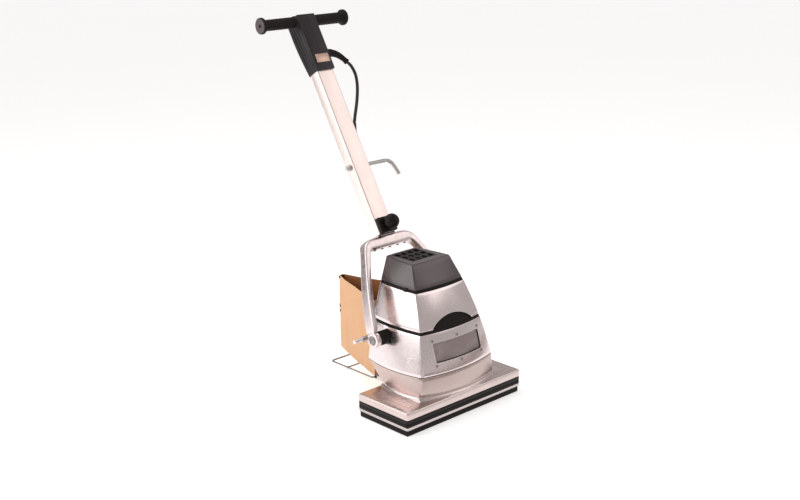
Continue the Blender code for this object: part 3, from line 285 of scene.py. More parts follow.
def block(name: str, low: tuple, high: tuple, bevel: float = 0.0, steps: int = 3) -> Piece:
    """Cube primitive at its size and place, with every edge bevelled.

    Args:
        name: the piece's name.
        low: lowest corner.
        high: highest corner.
        bevel: width of the rounded edges.
        steps: segments across an edge.

    Returns:
        The new object.
    """
    deselect()
    middle = [(a + b) / 2 for a, b in zip(low, high)]
    bpy.ops.mesh.primitive_cube_add(size=1, location=middle, scale=[b - a for a, b in zip(low, high)])
    obj = started(name)
    if bevel:
        with shaping():
            bpy.ops.mesh.bevel(offset=bevel, offset_type="OFFSET", segments=steps, profile=0.5,
                    affect="EDGES")
    return obj


def wire(name: str, points: list[Vector], radius: float, cyclic: bool = False, sides: int = 3,
         place: Matrix | None = None) -> Piece:
    """Round wire along a smooth line, made a mesh.

    Args:
        name: the piece's name.
        points: the line that the wire follows.
        radius: half its thickness.
        cyclic: joins its ends.
        sides: bevel resolution of the wire's section.
        place: matrix that lays it in the machine.

    Returns:
        The new object.
    """
    obj = line(name, points, radius, cyclic, sides)
    focus(obj)
    bpy.ops.object.convert(target="MESH")
    return fixed(outward(bpy.context.object), place)


def line(name: str, points: list[Vector], radius: float, cyclic: bool = False,
         sides: int = 3) -> Piece:
    """Curve object through points, with a round section.

    Args:
        name: the piece's name.
        points: the line that the curve follows.
        radius: half its thickness.
        cyclic: joins its ends.
        sides: bevel resolution of its section.

    Returns:
        The new curve object.
    """
    curve = bpy.data.curves.new(name, "CURVE")
    curve.dimensions = "3D"
    curve.bevel_depth = radius
    curve.bevel_resolution = sides
    curve.use_fill_caps = not cyclic
    spline = curve.splines.new("POLY")
    spline.points.add(len(points) - 1)
    for knot, point in zip(spline.points, points):
        knot.co = (*point, 1.0)
    spline.use_cyclic_u = cyclic
    spline.use_smooth = True
    obj = bpy.data.objects.new(name, curve)
    bpy.context.scene.collection.objects.link(obj)
    return obj


def copied(obj: Piece, name: str, matrix: Matrix) -> Piece:
    """Copy with its own mesh, moved by a matrix that is applied.

    Args:
        obj: the object to copy.
        name: the copy's name.
        matrix: where it is moved to.

    Returns:
        The copy.
    """
    twin = obj.copy()
    twin.data = obj.data.copy()
    twin.name = twin.data.name = name
    bpy.context.scene.collection.objects.link(twin)
    return fixed(twin, matrix)


def joined(name: str, *objs: Piece) -> Piece:
    """Joins objects into the first one's mesh.

    Args:
        name: name of the joined piece.
        objs: the objects, used up except the first.

    Returns:
        The first object, with all the meshes.
    """
    focus(objs[0])
    for obj in objs:
        obj.select_set(True)
    bpy.ops.object.join()
    objs[0].name = objs[0].data.name = name
    return objs[0]


def cut(obj: Piece, *tools: Piece) -> Piece:
    """Takes the tools' shapes out of an object, and the tools out of the scene.

    Args:
        obj: the object to cut.
        tools: closed shapes, used up.

    Returns:
        The cut object.
    """
    for tool in tools:
        modified(obj, "BOOLEAN", operation="DIFFERENCE", solver="EXACT", object=tool)
        bpy.data.objects.remove(tool, do_unlink=True)
    return obj


def rounded(obj: Piece, width: float, steps: int = 2, angle: float = 40.0) -> Piece:
    """Bevels an object's edges that turn by more than an angle in degrees, and returns the object."""
    return modified(obj, "BEVEL", width=width, segments=steps, limit_method="ANGLE",
                    angle_limit=math.radians(angle))


def arc(start: float, end: float, steps: int) -> list[float]:
    """Evenly spaced angles in radians between two angles in degrees."""
    return [math.radians(start + (end - start) * k / steps) for k in range(steps + 1)]


def rectangle(half_x: float, half_y: float, corner: float, z: float, centre: tuple = (0.0, 0.0),
              steps: int = 5) -> list[Vector]:
    """Rectangle with round corners at one height.

    Args:
        half_x: half its width.
        half_y: half its depth.
        corner: radius of its corners.
        z: its height.
        centre: its middle.
        steps: segments in each corner.

    Returns:
        Its points, in order.
    """
    ring = []
    for quarter, (sx, sy) in enumerate(((1, 1), (-1, 1), (-1, -1), (1, -1))):
        middle = (centre[0] + sx * (half_x - corner), centre[1] + sy * (half_y - corner))
        for angle in arc(90 * quarter, 90 * (quarter + 1), steps):
            ring.append(Vector((middle[0] + corner * math.cos(angle), middle[1] + corner * math.sin(angle),
                    z)))
    return ring


def curve_through(points: list[Vector], spacing: float) -> list[Vector]:
    """Points a spacing apart on the smooth curve through a route's own points.

    Args:
        points: the route.
        spacing: distance between the new points.

    Returns:
        The finer route.
    """
    ends = [2 * points[0] - points[1]] + points + [2 * points[-1] - points[-2]]
    fine = []
    for a, b, c, d in zip(ends, ends[1:], ends[2:], ends[3:]):
        steps = max(1, round((c - b).length / spacing))
        for k in range(steps):
            t = k / steps
            fine.append(0.5 * (2 * b + (c - a) * t + (2 * a - 5 * b + 4 * c - d) * t ** 2
                               + (3 * b - a - 3 * c + d) * t ** 3))
    return fine + [points[-1]]


# ---------------------------------------------------------------- finishes

class Graph:
    """A material's nodes, wired in a few calls."""

    def __init__(self, name: str) -> None:
        """Starts a material with its shader.

        Args:
            name: the material's name.
        """
        self.material = bpy.data.materials.new(name)
        self.material.use_nodes = True
        self.nodes = self.material.node_tree.nodes
        self.links = self.material.node_tree.links
        self.shader = self.nodes["Principled BSDF"]

    def node(self, kind: str, **inputs: object) -> bpy.types.Node:
        """Adds a node and sets or links its inputs by name, with spaces written as underscores.

        Args:
            kind: the node's type, without its ShaderNode prefix.
            inputs: values, or sockets to link.

        Returns:
            The node.
        """
        made = self.nodes.new("ShaderNode" + kind)
        for key, value in inputs.items():
            self.feed(made.inputs[key.replace("_", " ")], value)
        return made

    def feed(self, socket: Socket, value: object) -> None:
        """Links a socket to another, or sets it to a value.

        Args:
            socket: the input.
            value: a socket to link, or a value.
        """
        if isinstance(value, Socket):
            self.links.new(value, socket)
        else:
            socket.default_value = value

    def place(self, scale: Colour = (1, 1, 1), lean: float = 0.0) -> Socket:
        """Object coordinates, turned about X and then stretched.

        Args:
            scale: stretch along each axis.
            lean: turn about X, in radians.

        Returns:
            The socket with the coordinates.
        """
        source = self.nodes.new("ShaderNodeTexCoord").outputs["Object"]
        turned_by = self.node("Mapping", Vector=source, Rotation=(lean, 0, 0))
        return self.node("Mapping", Vector=turned_by.outputs["Vector"], Scale=scale).outputs["Vector"]

    def noise(self, vector: Socket, scale: float, detail: float = 3.0,
              distortion: float = 0.0) -> Socket:
        """Noise between 0 and 1."""
        return self.node("TexNoise", Vector=vector, Scale=scale, Detail=detail,
                         Distortion=distortion).outputs["Fac"]

    def span(self, value: Socket, low: float, high: float, source: tuple = (0.3, 0.7)
             ) -> Socket:
        """Stretches a value from a source range to another range."""
        return self.node("MapRange", Value=value, From_Min=source[0], From_Max=source[1], To_Min=low,
                         To_Max=high).outputs["Result"]

    def math(self, operation: str, a: object, b: object) -> Socket:
        """One sum on two values or sockets.

        Args:
            operation: the sum's type.
            a: first value or socket.
            b: second value or socket.

        Returns:
            The socket with the result.
        """
        made = self.nodes.new("ShaderNodeMath")
        made.operation = operation
        for socket, value in zip(made.inputs, (a, b)):
            self.feed(socket, value)
        return made.outputs[0]

    def blend(self, factor: Socket, first: object, second: object) -> Socket:
        """Mixes two colours or colour sockets by a factor.

        Args:
            factor: socket that says how much of the second is used.
            first: first colour or socket.
            second: second colour or socket.

        Returns:
            The socket with the mixed colour.
        """
        made = self.nodes.new("ShaderNodeMix")
        made.data_type = "RGBA"
        self.links.new(factor, made.inputs["Factor"])
        for socket, value in zip((made.inputs[6], made.inputs[7]), (first, second)):
            self.feed(socket, value if isinstance(value, Socket) else (*value, 1.0))
        return made.outputs[2]

    def wear(self, low: float = 0.52, high: float = 0.60) -> Socket:
        """How exposed an edge is, from 0 on a flat face to 1 on a sharp edge."""
        pointed = self.nodes.new("ShaderNodeNewGeometry").outputs["Pointiness"]
        return self.span(pointed, 0.0, 1.0, (low, high))

    def finish(self, colour: Socket, roughness: Socket,
               height: Socket, relief: float, **constants: object) -> Material:
        """Wires colour, roughness and bump to the shader, and sets its constants.

        Args:
            colour: base colour.
            roughness: roughness.
            height: bump height.
            relief: strength of the bump.
            constants: further shader inputs by name, with spaces written as underscores.

        Returns:
            The finished material.
        """
        self.links.new(colour, self.shader.inputs["Base Color"])
        self.links.new(roughness, self.shader.inputs["Roughness"])
        bump = self.node("Bump", Strength=relief, Distance=0.001, Height=height)
        self.links.new(bump.outputs["Normal"], self.shader.inputs["Normal"])
        for key, value in constants.items():
            self.shader.inputs[key.replace("_", " ")].default_value = value
        return self.material


@dataclass(frozen=True)
class Metal:
    """Metal with a drawn or cast surface: grain, smudges, fine scratches and bright worn edges."""

    name: str
    colour: Colour
    shade: Colour
    roughness: float
    grain: Colour = (30.0, 30.0, 900.0)   # stretch of the grain along each axis
    lean: float = 0.0
    relief: float = 0.03
    pits: float = 0.0
    contrast: float = 0.10

    def build(self) -> Material:
        """Makes the material.

        Returns:
            The finished material.
        """
        g = Graph(self.name)
        grain = g.noise(g.place(self.grain, self.lean), 1.0, 4.0)
        smudge = g.noise(g.place(), 9.0, 4.0, 0.6)
        scratch = g.noise(g.place((260.0, 14.0, 60.0), self.lean + 0.5), 1.0, 6.0, 1.2)
        scratches = g.span(scratch, 0.0, 1.0, (0.60, 0.68))
        body = g.blend(g.span(smudge, 0.0, 1.0), self.shade, self.colour)
        body = g.blend(g.span(grain, 0.0, self.contrast), body, tuple(0.62 * c for c in self.colour))
        bright = g.blend(g.wear(), body, tuple(min(1.0, c * 1.15) for c in self.colour))
        rough = g.math("ADD", g.span(grain, self.roughness - 0.04, self.roughness + 0.05),
                       g.span(smudge, 0.0, 0.06, (0.45, 0.75)))
        rough = g.math("ADD", rough, g.math("MULTIPLY", scratches, 0.08))
        height = g.math("SUBTRACT", g.math("MULTIPLY", grain, 0.25), g.math("MULTIPLY", scratches, 0.12))
        if self.pits:
            cast = g.noise(g.place(), 420.0, 5.0)
            height = g.math("ADD", height, g.math("MULTIPLY", g.span(cast, 0.0, 1.0), self.pits))
        return g.finish(bright, rough, height, self.relief, Metallic=1.0)


@dataclass(frozen=True)
class Moulded:
    """Moulded plastic or rubber: fine grain, faint mottling, dust and rubbed edges."""

    name: str
    colour: Colour
    rubbed: Colour
    roughness: float
    grain: float = 900.0
    relief: float = 0.16
    coat: float = 0.0
    shine: float = 0.22

    def build(self) -> Material:
        """Makes the material.

        Returns:
            The finished material.
        """
        g = Graph(self.name)
        grain = g.noise(g.place(), self.grain, 4.0)
        cloud = g.noise(g.place(), 14.0, 4.0, 0.4)
        dust = g.span(g.noise(g.place(), 130.0, 6.0), 0.0, 0.30, (0.55, 0.75))
        body = g.blend(g.span(cloud, 0.0, 0.55), self.colour, self.rubbed)
        body = g.blend(dust, body, self.rubbed)
        body = g.blend(g.math("MULTIPLY", g.wear(), 0.6), body, tuple(min(1.0, 1.8 * c) for c in self.rubbed))
        rough = g.math("ADD", g.span(cloud, self.roughness - 0.06, self.roughness + 0.06),
                       g.span(grain, -0.04, 0.05))
        return g.finish(body, rough, grain, self.relief, Coat_Weight=self.coat, Coat_Roughness=0.2,
                        Specular_IOR_Level=self.shine)


@dataclass(frozen=True)
class Paper:
    """Kraft paper: fibres, mottling, and creases that catch the light."""

    name: str
    colour: Colour
    fibre: Colour
    roughness: float = 0.86

    def build(self) -> Material:
        """Makes the material.

        Returns:
            The finished material.
        """
        g = Graph(self.name)
        fibres = g.noise(g.place((240.0, 240.0, 900.0)), 1.0, 6.0, 1.5)
        specks = g.noise(g.place(), 700.0, 3.0)
        cloud = g.noise(g.place((1.0, 1.0, 0.35)), 18.0, 5.0, 0.8)
        crumple = g.noise(g.place((1.0, 1.0, 0.5)), 38.0, 4.0, 1.4)
        body = g.blend(g.span(fibres, 0.0, 0.55, (0.40, 0.70)), self.colour, self.fibre)
        body = g.blend(g.span(cloud, 0.0, 0.35), body, tuple(0.80 * c for c in self.colour))
        body = g.blend(g.span(specks, 0.0, 0.5, (0.62, 0.72)), body, tuple(0.55 * c for c in self.fibre))
        rough = g.span(cloud, self.roughness - 0.08, self.roughness + 0.06)
        height = g.math("ADD", g.math("MULTIPLY", fibres, 0.35), g.math("MULTIPLY", crumple, 2.2))
        return g.finish(body, rough, height, 0.35, Sheen_Weight=0.15, Sheen_Roughness=0.6)


@dataclass(frozen=True)
class Pane:
    """Smoked plastic sheet: tinted and glossy, hazed by fine scratches and splashes."""

    name: str
    colour: Colour
    haze: Colour

    def build(self) -> Material:
        """Makes the material.

        Returns:
            The finished material.
        """
        g = Graph(self.name)
        cloud = g.noise(g.place((1.0, 1.0, 2.2)), 11.0, 5.0, 0.8)
        drops = g.noise(g.place(), 220.0, 3.0)
        hazed = g.blend(g.span(cloud, 0.0, 0.75), self.colour, self.haze)
        hazed = g.blend(g.span(drops, 0.0, 0.3, (0.62, 0.74)), hazed, tuple(1.15 * c for c in self.haze))
        return g.finish(hazed, g.span(cloud, 0.16, 0.34), drops, 0.03, Coat_Weight=0.6, Coat_Roughness=0.08)


@dataclass(frozen=True)
class Bristle:
    """Nylon bristle: dark strands that run out from the roll."""

    name: str
    colour: Colour
    tip: Colour

    def build(self) -> Material:
        """Makes the material.

        Returns:
            The finished material.
        """
        g = Graph(self.name)
        strands = g.noise(g.place((900.0, 260.0, 260.0)), 1.0, 3.0, 0.5)
        bands = g.noise(g.place((55.0, 8.0, 8.0)), 1.0, 2.0)
        body = g.blend(g.span(strands, 0.0, 1.0), self.colour, self.tip)
        body = g.blend(g.span(bands, 0.0, 0.6), body, tuple(0.5 * c for c in self.colour))
        return g.finish(body, g.span(strands, 0.55, 0.85), strands, 0.9)


@dataclass(frozen=True)
class Floor:
    """Pale seamless floor that glows a little, as a lit table does."""

    name: str
    colour: Colour
    glow: float

    def build(self) -> Material:
        """Makes the material.

        Returns:
            The finished material.
        """
        g = Graph(self.name)
        cloud = g.noise(g.place(), 1.5, 3.0)
        body = g.blend(g.span(cloud, 0.0, 1.0), self.colour, tuple(0.985 * c for c in self.colour))
        return g.finish(body, g.span(cloud, 0.75, 0.85), cloud, 0.0, Emission_Color=(1.0, 1.0, 1.0, 1.0),
                        Emission_Strength=self.glow, Specular_IOR_Level=0.1)


LEAN = math.radians(30.5)
ALONG_TUBE = (700.0, 700.0, 10.0)

FINISHES = {"stainless": Metal("brushed_stainless", (0.83, 0.745, 0.74), (0.77, 0.685, 0.68), 0.21,
        (9.0, 9.0, 1500.0), relief=0.012, contrast=0.06), "casting": Metal("polished_casting",
        (0.80, 0.71, 0.705), (0.73, 0.645, 0.64), 0.28, (60.0, 60.0, 60.0), relief=0.010, pits=0.05,
        contrast=0.05), "skirt": Metal("satin_casting", (0.60, 0.49, 0.46), (0.53, 0.43, 0.40), 0.30,
        (40.0, 40.0, 900.0), relief=0.012, pits=0.05, contrast=0.06),
        "plate": Metal("worn_plate_casting", (0.66, 0.56, 0.54), (0.55, 0.46, 0.445), 0.26,
        (14.0, 700.0, 14.0), relief=0.012, pits=0.04, contrast=0.06),
        "tube": Metal("satin_aluminium", (0.93, 0.815, 0.775), (0.90, 0.785, 0.745), 0.34, ALONG_TUBE, LEAN,
        0.006, contrast=0.04), "trim": Metal("bright_trim", (0.66, 0.60, 0.59), (0.58, 0.52, 0.51), 0.24,
        (8.0, 8.0, 1500.0), relief=0.012), "chrome": Metal("plated_steel", (0.86, 0.83, 0.82),
        (0.72, 0.68, 0.67), 0.15, (90.0, 90.0, 90.0), relief=0.01),
        "bolt": Metal("dark_bolt", (0.34, 0.31, 0.30), (0.24, 0.22, 0.21), 0.32, (90.0, 90.0, 90.0)),
        "toned_card": Moulded("toned_card", (0.34, 0.26, 0.235), (0.38, 0.30, 0.27), 0.8, 40.0, 0.0),
        "steel": Metal("zinc_steel", (0.56, 0.54, 0.53), (0.44, 0.42, 0.41), 0.34, (70.0, 70.0, 70.0)),
        "copper": Metal("wound_copper", (0.62, 0.30, 0.16), (0.45, 0.20, 0.10), 0.34, (20.0, 20.0, 700.0),
        relief=0.5), "bronze": Metal("worm_bronze", (0.60, 0.43, 0.19), (0.46, 0.31, 0.12), 0.32,
        (20.0, 20.0, 500.0)), "rating": Metal("etched_plate", (0.66, 0.48, 0.38), (0.55, 0.39, 0.31), 0.40,
        (600.0, 14.0, 14.0)), "cap": Moulded("mauve_grey_plastic", (0.046, 0.029, 0.029),
        (0.070, 0.050, 0.053), 0.26, 1100.0, 0.04, 0.0, 0.9), "housing": Moulded("dark_housing_plastic",
        (0.009, 0.007, 0.007), (0.022, 0.018, 0.020), 0.38, 1200.0, 0.10, 0.0, 0.3),
        "black": Moulded("black_plastic", (0.007, 0.0055, 0.005), (0.018, 0.014, 0.013), 0.36, 1000.0, 0.10,
        0.0, 0.14), "rubber": Moulded("black_rubber", (0.008, 0.0065, 0.006), (0.020, 0.016, 0.015), 0.55,
        700.0, 0.14, 0.0, 0.14), "cord": Moulded("cord_jacket", (0.014, 0.011, 0.010),
        (0.032, 0.027, 0.025), 0.34, 800.0, 0.08, 0.2), "grip_face": Moulded("grey_grip_end",
        (0.070, 0.056, 0.058), (0.12, 0.10, 0.104), 0.55, 600.0, 0.25),
        # Near-black: painted shadow in the strips behind the casing joints, and the dark card that the metal
        # reflects.
        "shadow": Moulded("dark_recess", (0.006, 0.005, 0.005), (0.012, 0.010, 0.010), 0.8, 500.0, 0.1),
        "pane": Pane("smoked_pane", (0.20, 0.155, 0.152), (0.34, 0.28, 0.275)),
        "paper": Paper("kraft_paper", (0.74, 0.42, 0.215), (0.67, 0.355, 0.160)),
        # Darker copy of the kraft paper for the bag's inner faces and its mouth card: painted shade inside
        # the open bag.
        "painted_shade_paper": Paper("kraft_paper_painted_shade", (0.42, 0.16, 0.045), (0.34, 0.12, 0.03), 0.92),
        "bristle": Bristle("nylon_bristle", (0.030, 0.025, 0.023), (0.10, 0.085, 0.078)),
        "floor": Floor("pale_floor", (0.90, 0.90, 0.90), 0.50),}


class Wardrobe:
    """Builds each finish once and dresses the pieces."""

    def __init__(self) -> None:
        """Starts with nothing built."""
        self.built: dict[str, Material] = {}

    def get(self, name: str) -> Material:
        """The material of one finish, built when it is first asked for.

        Args:
            name: the finish's name.

        Returns:
            Its material.
        """
        if name not in self.built:
            self.built[name] = FINISHES[name].build()
        return self.built[name]

    def dress_node(self, node: str, finish: str) -> None:
        """Gives a carried-over CAD node its finish.

        Args:
            node: the node's name.
            finish: the finish's name.
        """
        for material_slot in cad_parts[node].material_slots:
            material_slot.material = self.get(finish)
        LOG.info("CAD node %s: %s", node, finish)

    def dress(self, obj: Piece, body: str, finish: str, slot: str, *nodes: str,
              smooth: float = 35.0) -> Piece:
        """Finishes a new piece: shading, material, the body it rides on and the nodes it stands for.

        Args:
            obj: the piece.
            body: the CAD body it moves with.
            finish: its finish.
            slot: not used.
            nodes: CAD nodes that it replaces.
            smooth: edges flatter than this many degrees are shaded smooth.

        Returns:
            The piece.
        """
        if obj.type == "MESH":
            focus(obj)
            bpy.ops.object.shade_smooth_by_angle(angle=math.radians(smooth))
        if not obj.data.materials:
            obj.data.materials.append(self.get(finish))
        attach(obj, body)
        if nodes:
            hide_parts(*nodes)
        LOG.info("piece %s on %s: %s", obj.name, body, finish)
        return obj


@dataclass
class Assembly:
    """One part of the machine, or its studio, with the wardrobe that they share."""

    wardrobe: Wardrobe

    @property
    def dress(self) -> Callable[..., Piece]:
        """The wardrobe's way to finish a piece."""
        return self.wardrobe.dress


def middle_of(node: str) -> Vector:
    """Middle of a CAD node's box."""
    low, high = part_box(node)
    return (low + high) / 2


MACHINE_Y = middle_of("trim_strip").y
PIVOT = Vector((0.0, middle_of("pivot_boss_left").y, middle_of("pivot_boss_left").z))
HANDLE = Matrix.Translation(PIVOT) @ Matrix.Rotation(-LEAN, 4, "X")
TUBE_LOW = 0.27761       # foot of the tube above the pivot, along the handle


# ---------------------------------------------------------------- body

@dataclass(frozen=True)
class Station:
    """Plan of the body at one height."""

    z: float
    half_front: float
    half_rear: float
    front: float
    rear: float
    front_bulge: float
    side_bulge: float

    def values(self) -> tuple[float, ...]:
        """Its six sizes, in order."""
        return (self.half_front, self.half_rear, self.front, self.rear, self.front_bulge, self.side_bulge)


@dataclass(frozen=True)
class BodyPlan:
    """Outline of the body at every height: straight in the foot and the cap, curved between."""

    foot: Station = Station(0.0686, 0.146, 0.134, -0.066, 0.090, 0.024, 0.012)
    skirt: Station = Station(0.135, 0.1385, 0.1385, -0.066, 0.152, 0.022, 0.018)
    middle: Station = Station(0.249, 0.116, 0.116, -0.040, 0.152, 0.015, 0.011)
    band: Station = Station(0.349, 0.094, 0.090, 0.002, 0.150, 0.010, 0.005)
    top: Station = Station(0.419, 0.073, 0.058, 0.038, 0.157, 0.004, 0.002)
    corner: float = 0.022

    def at(self, z: float) -> Station:
        """The plan at any height, drawn through the stations nearest to it.

        Args:
            z: the height.

        Returns:
            The section at that height.
        """
        if z <= self.skirt.z:
            known = (self.foot, self.skirt)
        elif z >= self.band.z:
            known = (self.band, self.top)
        else:
            known = (self.skirt, self.middle, self.band)
        sizes = [0.0] * 6
        for one in known:
            weight = 1.0
            for other in known:
                if other is not one:
                    weight *= (z - other.z) / (one.z - other.z)
            sizes = [total + weight * value for total, value in zip(sizes, one.values())]
        return Station(z, *sizes)

    def ring(self, z: float, inset: float = 0.0, level: float | None = None) -> list[Vector]:
        """Closed outline of the body at height z.

        Args:
            z: height that the outline is taken at.
            inset: how far it is moved inwards.
            level: height that it is drawn at, when that isn't z.

        Returns:
            Its points in the machine, with rounded corners.
        """
        plan = self.at(z)
        front, rear = plan.front + inset, plan.rear - inset
        half_front, half_rear = plan.half_front - inset, plan.half_rear - inset
        corners = [(-half_front, front), (half_front, front), (half_rear, rear), (-half_rear, rear)]
        bulges = (plan.front_bulge, plan.side_bulge, 0.002, plan.side_bulge)
        edges = []
        for index, (bulge, steps) in enumerate(zip(bulges, (26, 20, 12, 20))):
            start, end = Vector(corners[index]), Vector(corners[(index + 1) % 4])
            out = Vector((end.y - start.y, start.x - end.x)).normalized()
            edge = []
            for step in range(steps + 1):
                t = self.corner + (1 - 2 * self.corner) * step / steps
                edge.append(start.lerp(end, t) + out * bulge * 4 * t * (1 - t))
            edges.append(edge)
        ring = []
        for index, edge in enumerate(edges):
            ring.extend(edge)
            after = edges[(index + 1) % 4]
            tip = Vector(corners[(index + 1) % 4])
            for t in (0.25, 0.5, 0.75):
                ring.append(edge[-1] * (1 - t) ** 2 + tip * 2 * t * (1 - t) + after[0] * t * t)
        return [Vector((p.x, p.y + MACHINE_Y, z if level is None else level)) for p in ring]

    def front_point(self, x: float, z: float, inset: float = 0.0) -> Vector:
        """Point of the body's front face at x and z, moved inwards by inset.

        Args:
            x: place across the front.
            z: height.
            inset: distance inwards.

        Returns:
            The point.
        """
        plan = self.at(z)
        bulge = plan.front_bulge * (1 - (x / plan.half_front) ** 2)
        return Vector((x, plan.front + inset - bulge + MACHINE_Y, z))

    def front_frame(self, x: float, z: float) -> Matrix:
        """Placing matrix on the front face at x and z, with Z out of it.

        Args:
            x: place across the front.
            z: height.

        Returns:
            The placing matrix.
        """
        step = 0.001
        across = self.front_point(x + step, z) - self.front_point(x - step, z)
        up = self.front_point(x, z + step) - self.front_point(x, z - step)
        turn = across.cross(up).normalized().to_track_quat("Z", "Y").to_matrix().to_4x4()
        return Matrix.Translation(self.front_point(x, z)) @ turn


@dataclass
class Base(Assembly):
    """Cast cover with its flared foot, bumper, trim strip and floor skirt."""

    plan: BodyPlan
    half_x: float = 0.225
    half_y: float = 0.099
    corner: float = 0.006
    plate_top: float = 0.0686
    plate_low: float = 0.0478
    bumper_low: float = 0.0263
    trim_low: float = 0.0183
    skirt_top: float = 0.018
    band: float = 0.0074
    flare_reach: float = 0.016
    flare_height: float = 0.013

    def outline(self, inset: float, z: float) -> list[Vector]:
        """Rectangle of the base at one height, moved inwards."""
        return rectangle(self.half_x - inset, self.half_y - inset, max(self.corner - inset, 0.0008), z,
                         (0.0, MACHINE_Y), 6)

    def ring(self, name: str, profile: Profile) -> Piece:
        """Ring round the base from (inset, height) points."""
        return lofted(name, [self.outline(inset, z) for inset, z in profile], closed=True)

    def build(self) -> None:
        """Builds and dresses the base."""
        self.build_cover()
        self.build_bumper()
        self.build_trim()
        dress = self.dress
        low, top, band = 0.0, self.skirt_top, self.band
        skirt = self.ring("floor_skirt_moulding",
                          [(0.0050, low), (0.0036, 0.003), (0.0035, 0.006), (0.0042, 0.007), (0.0035, 0.008),
                           (0.0035, 0.0115), (0.0042, 0.0125), (0.0035, 0.0135), (0.0035, top), (band, top),
                           (band, 0.0097), (0.013, 0.0097), (0.013, low)])
        dress(skirt, "base", "rubber", "rubber", "floor_skirt")

    def build_cover(self) -> None:
        """Plate with a chamfered edge, and the foot that flares out of it."""
        top, low = self.plate_top, self.plate_low
        plate = lofted("cover_casting", [self.outline(0.013, top - 0.004), self.outline(0.013, 0.010),
                self.outline(0.0077, 0.010), self.outline(0.0077, low), self.outline(0.0006, low),
                self.outline(0.0, low + 0.0006), self.outline(0.0, top - 0.0034),
                self.outline(0.0004, top - 0.0024), self.outline(0.0024, top - 0.0004),
                self.outline(0.0034, top), self.outline(0.030, top), self.outline(0.030, top - 0.004)],
                closed=True)
        deck = lofted("deck", [rectangle(self.half_x - 0.029, self.half_y - 0.029, 0.004, z,
                (0.0, MACHINE_Y), 6) for z in (top - 0.0035, top)])
        neck = turned("neck", [(0.0223, top - 0.01), (0.0223, top + 0.01)],
                Matrix.Translation((0, MACHINE_Y, 0)))
        cut(deck, neck)
        rings = []
        for step in range(13):
            angle = math.radians(90 * step / 12)
            reach = self.flare_reach * (1 - math.sin(angle))
            height = top + self.flare_height * (1 - math.cos(angle)) - 0.0002
            rings.append(self.plan.ring(height, -reach + 0.0003))
        rings += [self.plan.ring(top + self.flare_height, 0.0028), self.plan.ring(top, 0.0028, top - 0.0006),
                  self.plan.ring(top, -self.flare_reach, top - 0.0006)]
        edge = self.half_y - 0.0036
        for point in (p for ring in rings for p in ring):
            point.y = max(MACHINE_Y - edge, min(MACHINE_Y + edge, point.y))
        flare = lofted("flare", rings, closed=True)
        cover = joined("cover_casting", plate, deck, flare)
        self.dress(cover, "base", "plate", "cast_alloy", "base_cover", smooth=28)

    def build_bumper(self) -> None:
        """Black bumper moulding with rolled edges and a shallow groove."""
        low, high, band = self.bumper_low, self.plate_low - 0.0003, self.band
        middle = (low + high) / 2
        bumper = self.ring("bumper_moulding", [(0.0016, low), (0.0004, low + 0.0006), (0.0, low + 0.0018),
                (0.0, middle - 0.0022), (0.0006, middle - 0.0016), (0.0006, middle + 0.0016),
                (0.0, middle + 0.0022), (0.0, high - 0.0018), (0.0004, high - 0.0006), (0.0016, high),
                (band, high), (band, low)])
        self.dress(bumper, "base", "black", "black_plastic", "bumper_band", smooth=50)

    def build_trim(self) -> None:
        """Bright extruded strip with two fine grooves."""
        low, high, band = self.trim_low, self.bumper_low - 0.0003, self.band
        profile = [(0.0010, low), (0.0002, low + 0.0005)]
        for groove in (0.36, 0.64):
            z = low + (high - low) * groove
            profile += [(0.0, z - 0.0006), (0.0005, z - 0.0002), (0.0005, z + 0.0002), (0.0, z + 0.0006)]
        profile += [(0.0002, high - 0.0005), (0.0010, high), (band, high), (band, low)]
        self.dress(self.ring("trim_extrusion", profile), "base", "trim", "aluminium", "trim_strip")


